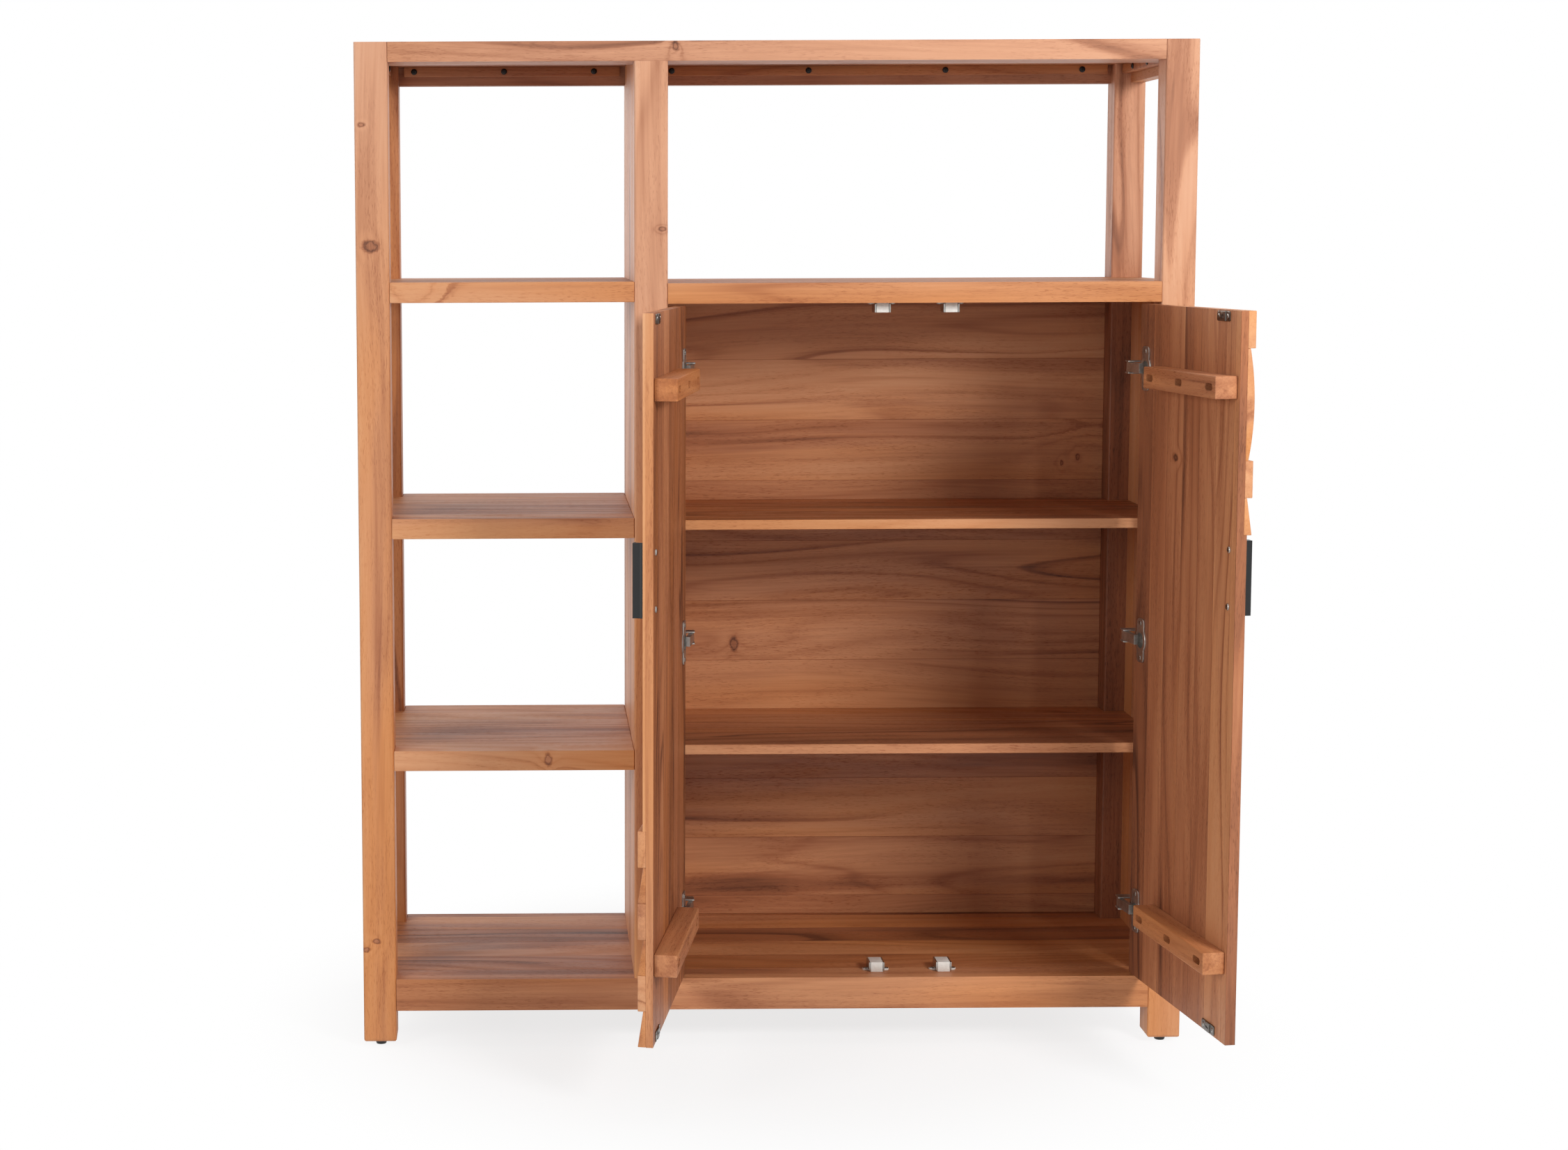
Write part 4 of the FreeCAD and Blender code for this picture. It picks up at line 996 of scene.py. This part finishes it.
# Fittings shown by their CAD solids: a word in the name, the material and the eased edge; last, the rest
FITTINGS = (
    ("glide", glide_black, 0.0008),
    ("handle", handle_black, 0.0005),
    ("hinge_arms", satin_nickel, 0.0007),
    ("hinge_links", satin_nickel, 0.0007),
    ("", nickel, 0.0004),
)
for node in cad:
    if node in WOODWORK or cad[node].hide_render:
        continue
    material, ease = next(look for word, *look in FITTINGS if word in node)
    dress(node, material, ease)

# White floor and sky: how they light the object, and how the floor's shadow fades away from it
FLOOR_HALF = 14.0
FLOOR_GREY = 0.92
FLOOR_GLOW = 0.78
FADE_START, FADE_END = 0.36, 0.80
SKY_LIGHT = 0.17


def seen_by_eye(tree):
    """1 for what the camera sees directly, in a mirror or through glass, else 0."""
    path = tree.nodes.new("ShaderNodeLightPath")
    total = path.outputs["Is Camera Ray"]
    for name in ("Is Glossy Ray", "Is Transmission Ray"):
        node = tree.nodes.new("ShaderNodeMath")
        node.operation = "MAXIMUM"
        tree.links.new(total, node.inputs[0])
        tree.links.new(path.outputs[name], node.inputs[1])
        total = node.outputs[0]
    return total


def floor_paper():
    """Plain diffuse to the object, near white with its soft shadow to the eye."""
    shader = Shader("floor_paper")
    shader.tree.nodes.remove(shader.surface)
    matt = shader.add("ShaderNodeBsdfDiffuse", {"Color": (FLOOR_GREY, FLOOR_GREY, FLOOR_GREY, 1)})
    glow = shader.add("ShaderNodeEmission")
    away = shader.length(shader.object_place())
    spans = {"From Min": FADE_START, "From Max": FADE_END, "To Min": FLOOR_GLOW, "To Max": 1.0}
    fade = shader.add("ShaderNodeMapRange", {"Value": away, **spans}, interpolation_type="SMOOTHSTEP")
    share = shader.math("MULTIPLY", seen_by_eye(shader.tree), fade.outputs[0])
    mix = shader.add("ShaderNodeMixShader", {0: share, 1: matt.outputs[0], 2: glow.outputs[0]})
    shader.feed(shader.tree.nodes["Material Output"].inputs["Surface"], mix.outputs[0])
    return shader.material


def lay_floor():
    """Plain white floor under the object."""
    mesh = bpy.data.meshes.new("floor")
    corners = [(-1, -1), (1, -1), (1, 1), (-1, 1)]
    mesh.from_pydata([(x * FLOOR_HALF, y * FLOOR_HALF, 0.0) for x, y in corners], [], [(0, 1, 2, 3)])
    mesh.materials.append(floor_paper())
    floor = bpy.data.objects.new("floor", mesh)
    bpy.context.collection.objects.link(floor)


def hang_sky():
    """Sky that is white to the eye and a weak, even light on the object."""
    world = bpy.data.worlds.new("studio")
    bpy.context.scene.world = world
    world.use_nodes = True
    nodes, links = world.node_tree.nodes, world.node_tree.links
    background = nodes["Background"]
    background.inputs["Color"].default_value = (1, 1, 1, 1)
    strength = nodes.new("ShaderNodeMapRange")
    strength.inputs["To Min"].default_value = SKY_LIGHT
    strength.inputs["To Max"].default_value = 1.0
    links.new(seen_by_eye(world.node_tree), strength.inputs["Value"])
    links.new(strength.outputs[0], background.inputs["Strength"])


lay_floor()
hang_sky()

# Soft lamps as (place, height of the point they look at, side, watts, whether glossy surfaces mirror them).
# The key is two lamps in one place, so that oiled tops seen from behind don't mirror all of it.
KEY_PLACE = (1.55, -2.50, 1.80)
LAMPS = {
    "key": (KEY_PLACE, 0.75, 0.75, 48, False),
    "key_glint": (KEY_PLACE, 0.75, 0.75, 14, True),
    "fill": ((-2.60, -2.50, 1.70), 0.75, 1.2, 42, True),
    "top": ((0.0, 0.2, 3.8), 0.7, 2.6, 34, True),
    "rear_left": ((-2.6, 3.4, 1.9), 0.7, 2.6, 42, True),
    "rear_right": ((3.2, 2.6, 1.9), 0.7, 2.6, 42, True),
}


def softbox(name, place, aim, side, power, mirrored):
    """A large soft square lamp that looks at a height over the middle of the object."""
    lamp = bpy.data.lights.new(name, "AREA")
    lamp.shape = "SQUARE"
    lamp.size = side
    lamp.energy = power
    holder = bpy.data.objects.new(name, lamp)
    holder.location = place
    holder.rotation_mode = "QUATERNION"
    holder.rotation_quaternion = (Vector((0.0, 0.0, aim)) - Vector(place)).to_track_quat("-Z", "Y")
    holder.visible_glossy = mirrored
    bpy.context.collection.objects.link(holder)


def set_camera():
    """The photograph's camera."""
    eye = bpy.data.cameras.new("eye")
    eye.sensor_width = SENSOR
    eye.lens = LENS
    eye.shift_x, eye.shift_y = SHIFT
    camera = bpy.data.objects.new("eye", eye)
    turn = Matrix.Rotation(math.radians(-YAW), 4, "Z")
    turn = turn @ Matrix.Rotation(math.radians(90 - PITCH), 4, "X")
    turn = turn @ Matrix.Rotation(math.radians(ROLL), 4, "Z")
    camera.matrix_world = Matrix.Translation(EYE) @ turn
    bpy.context.collection.objects.link(camera)
    bpy.context.scene.camera = camera


for name, settings in LAMPS.items():
    softbox(name, *settings)
set_camera()
bpy.context.scene.view_settings.view_transform = "Standard"
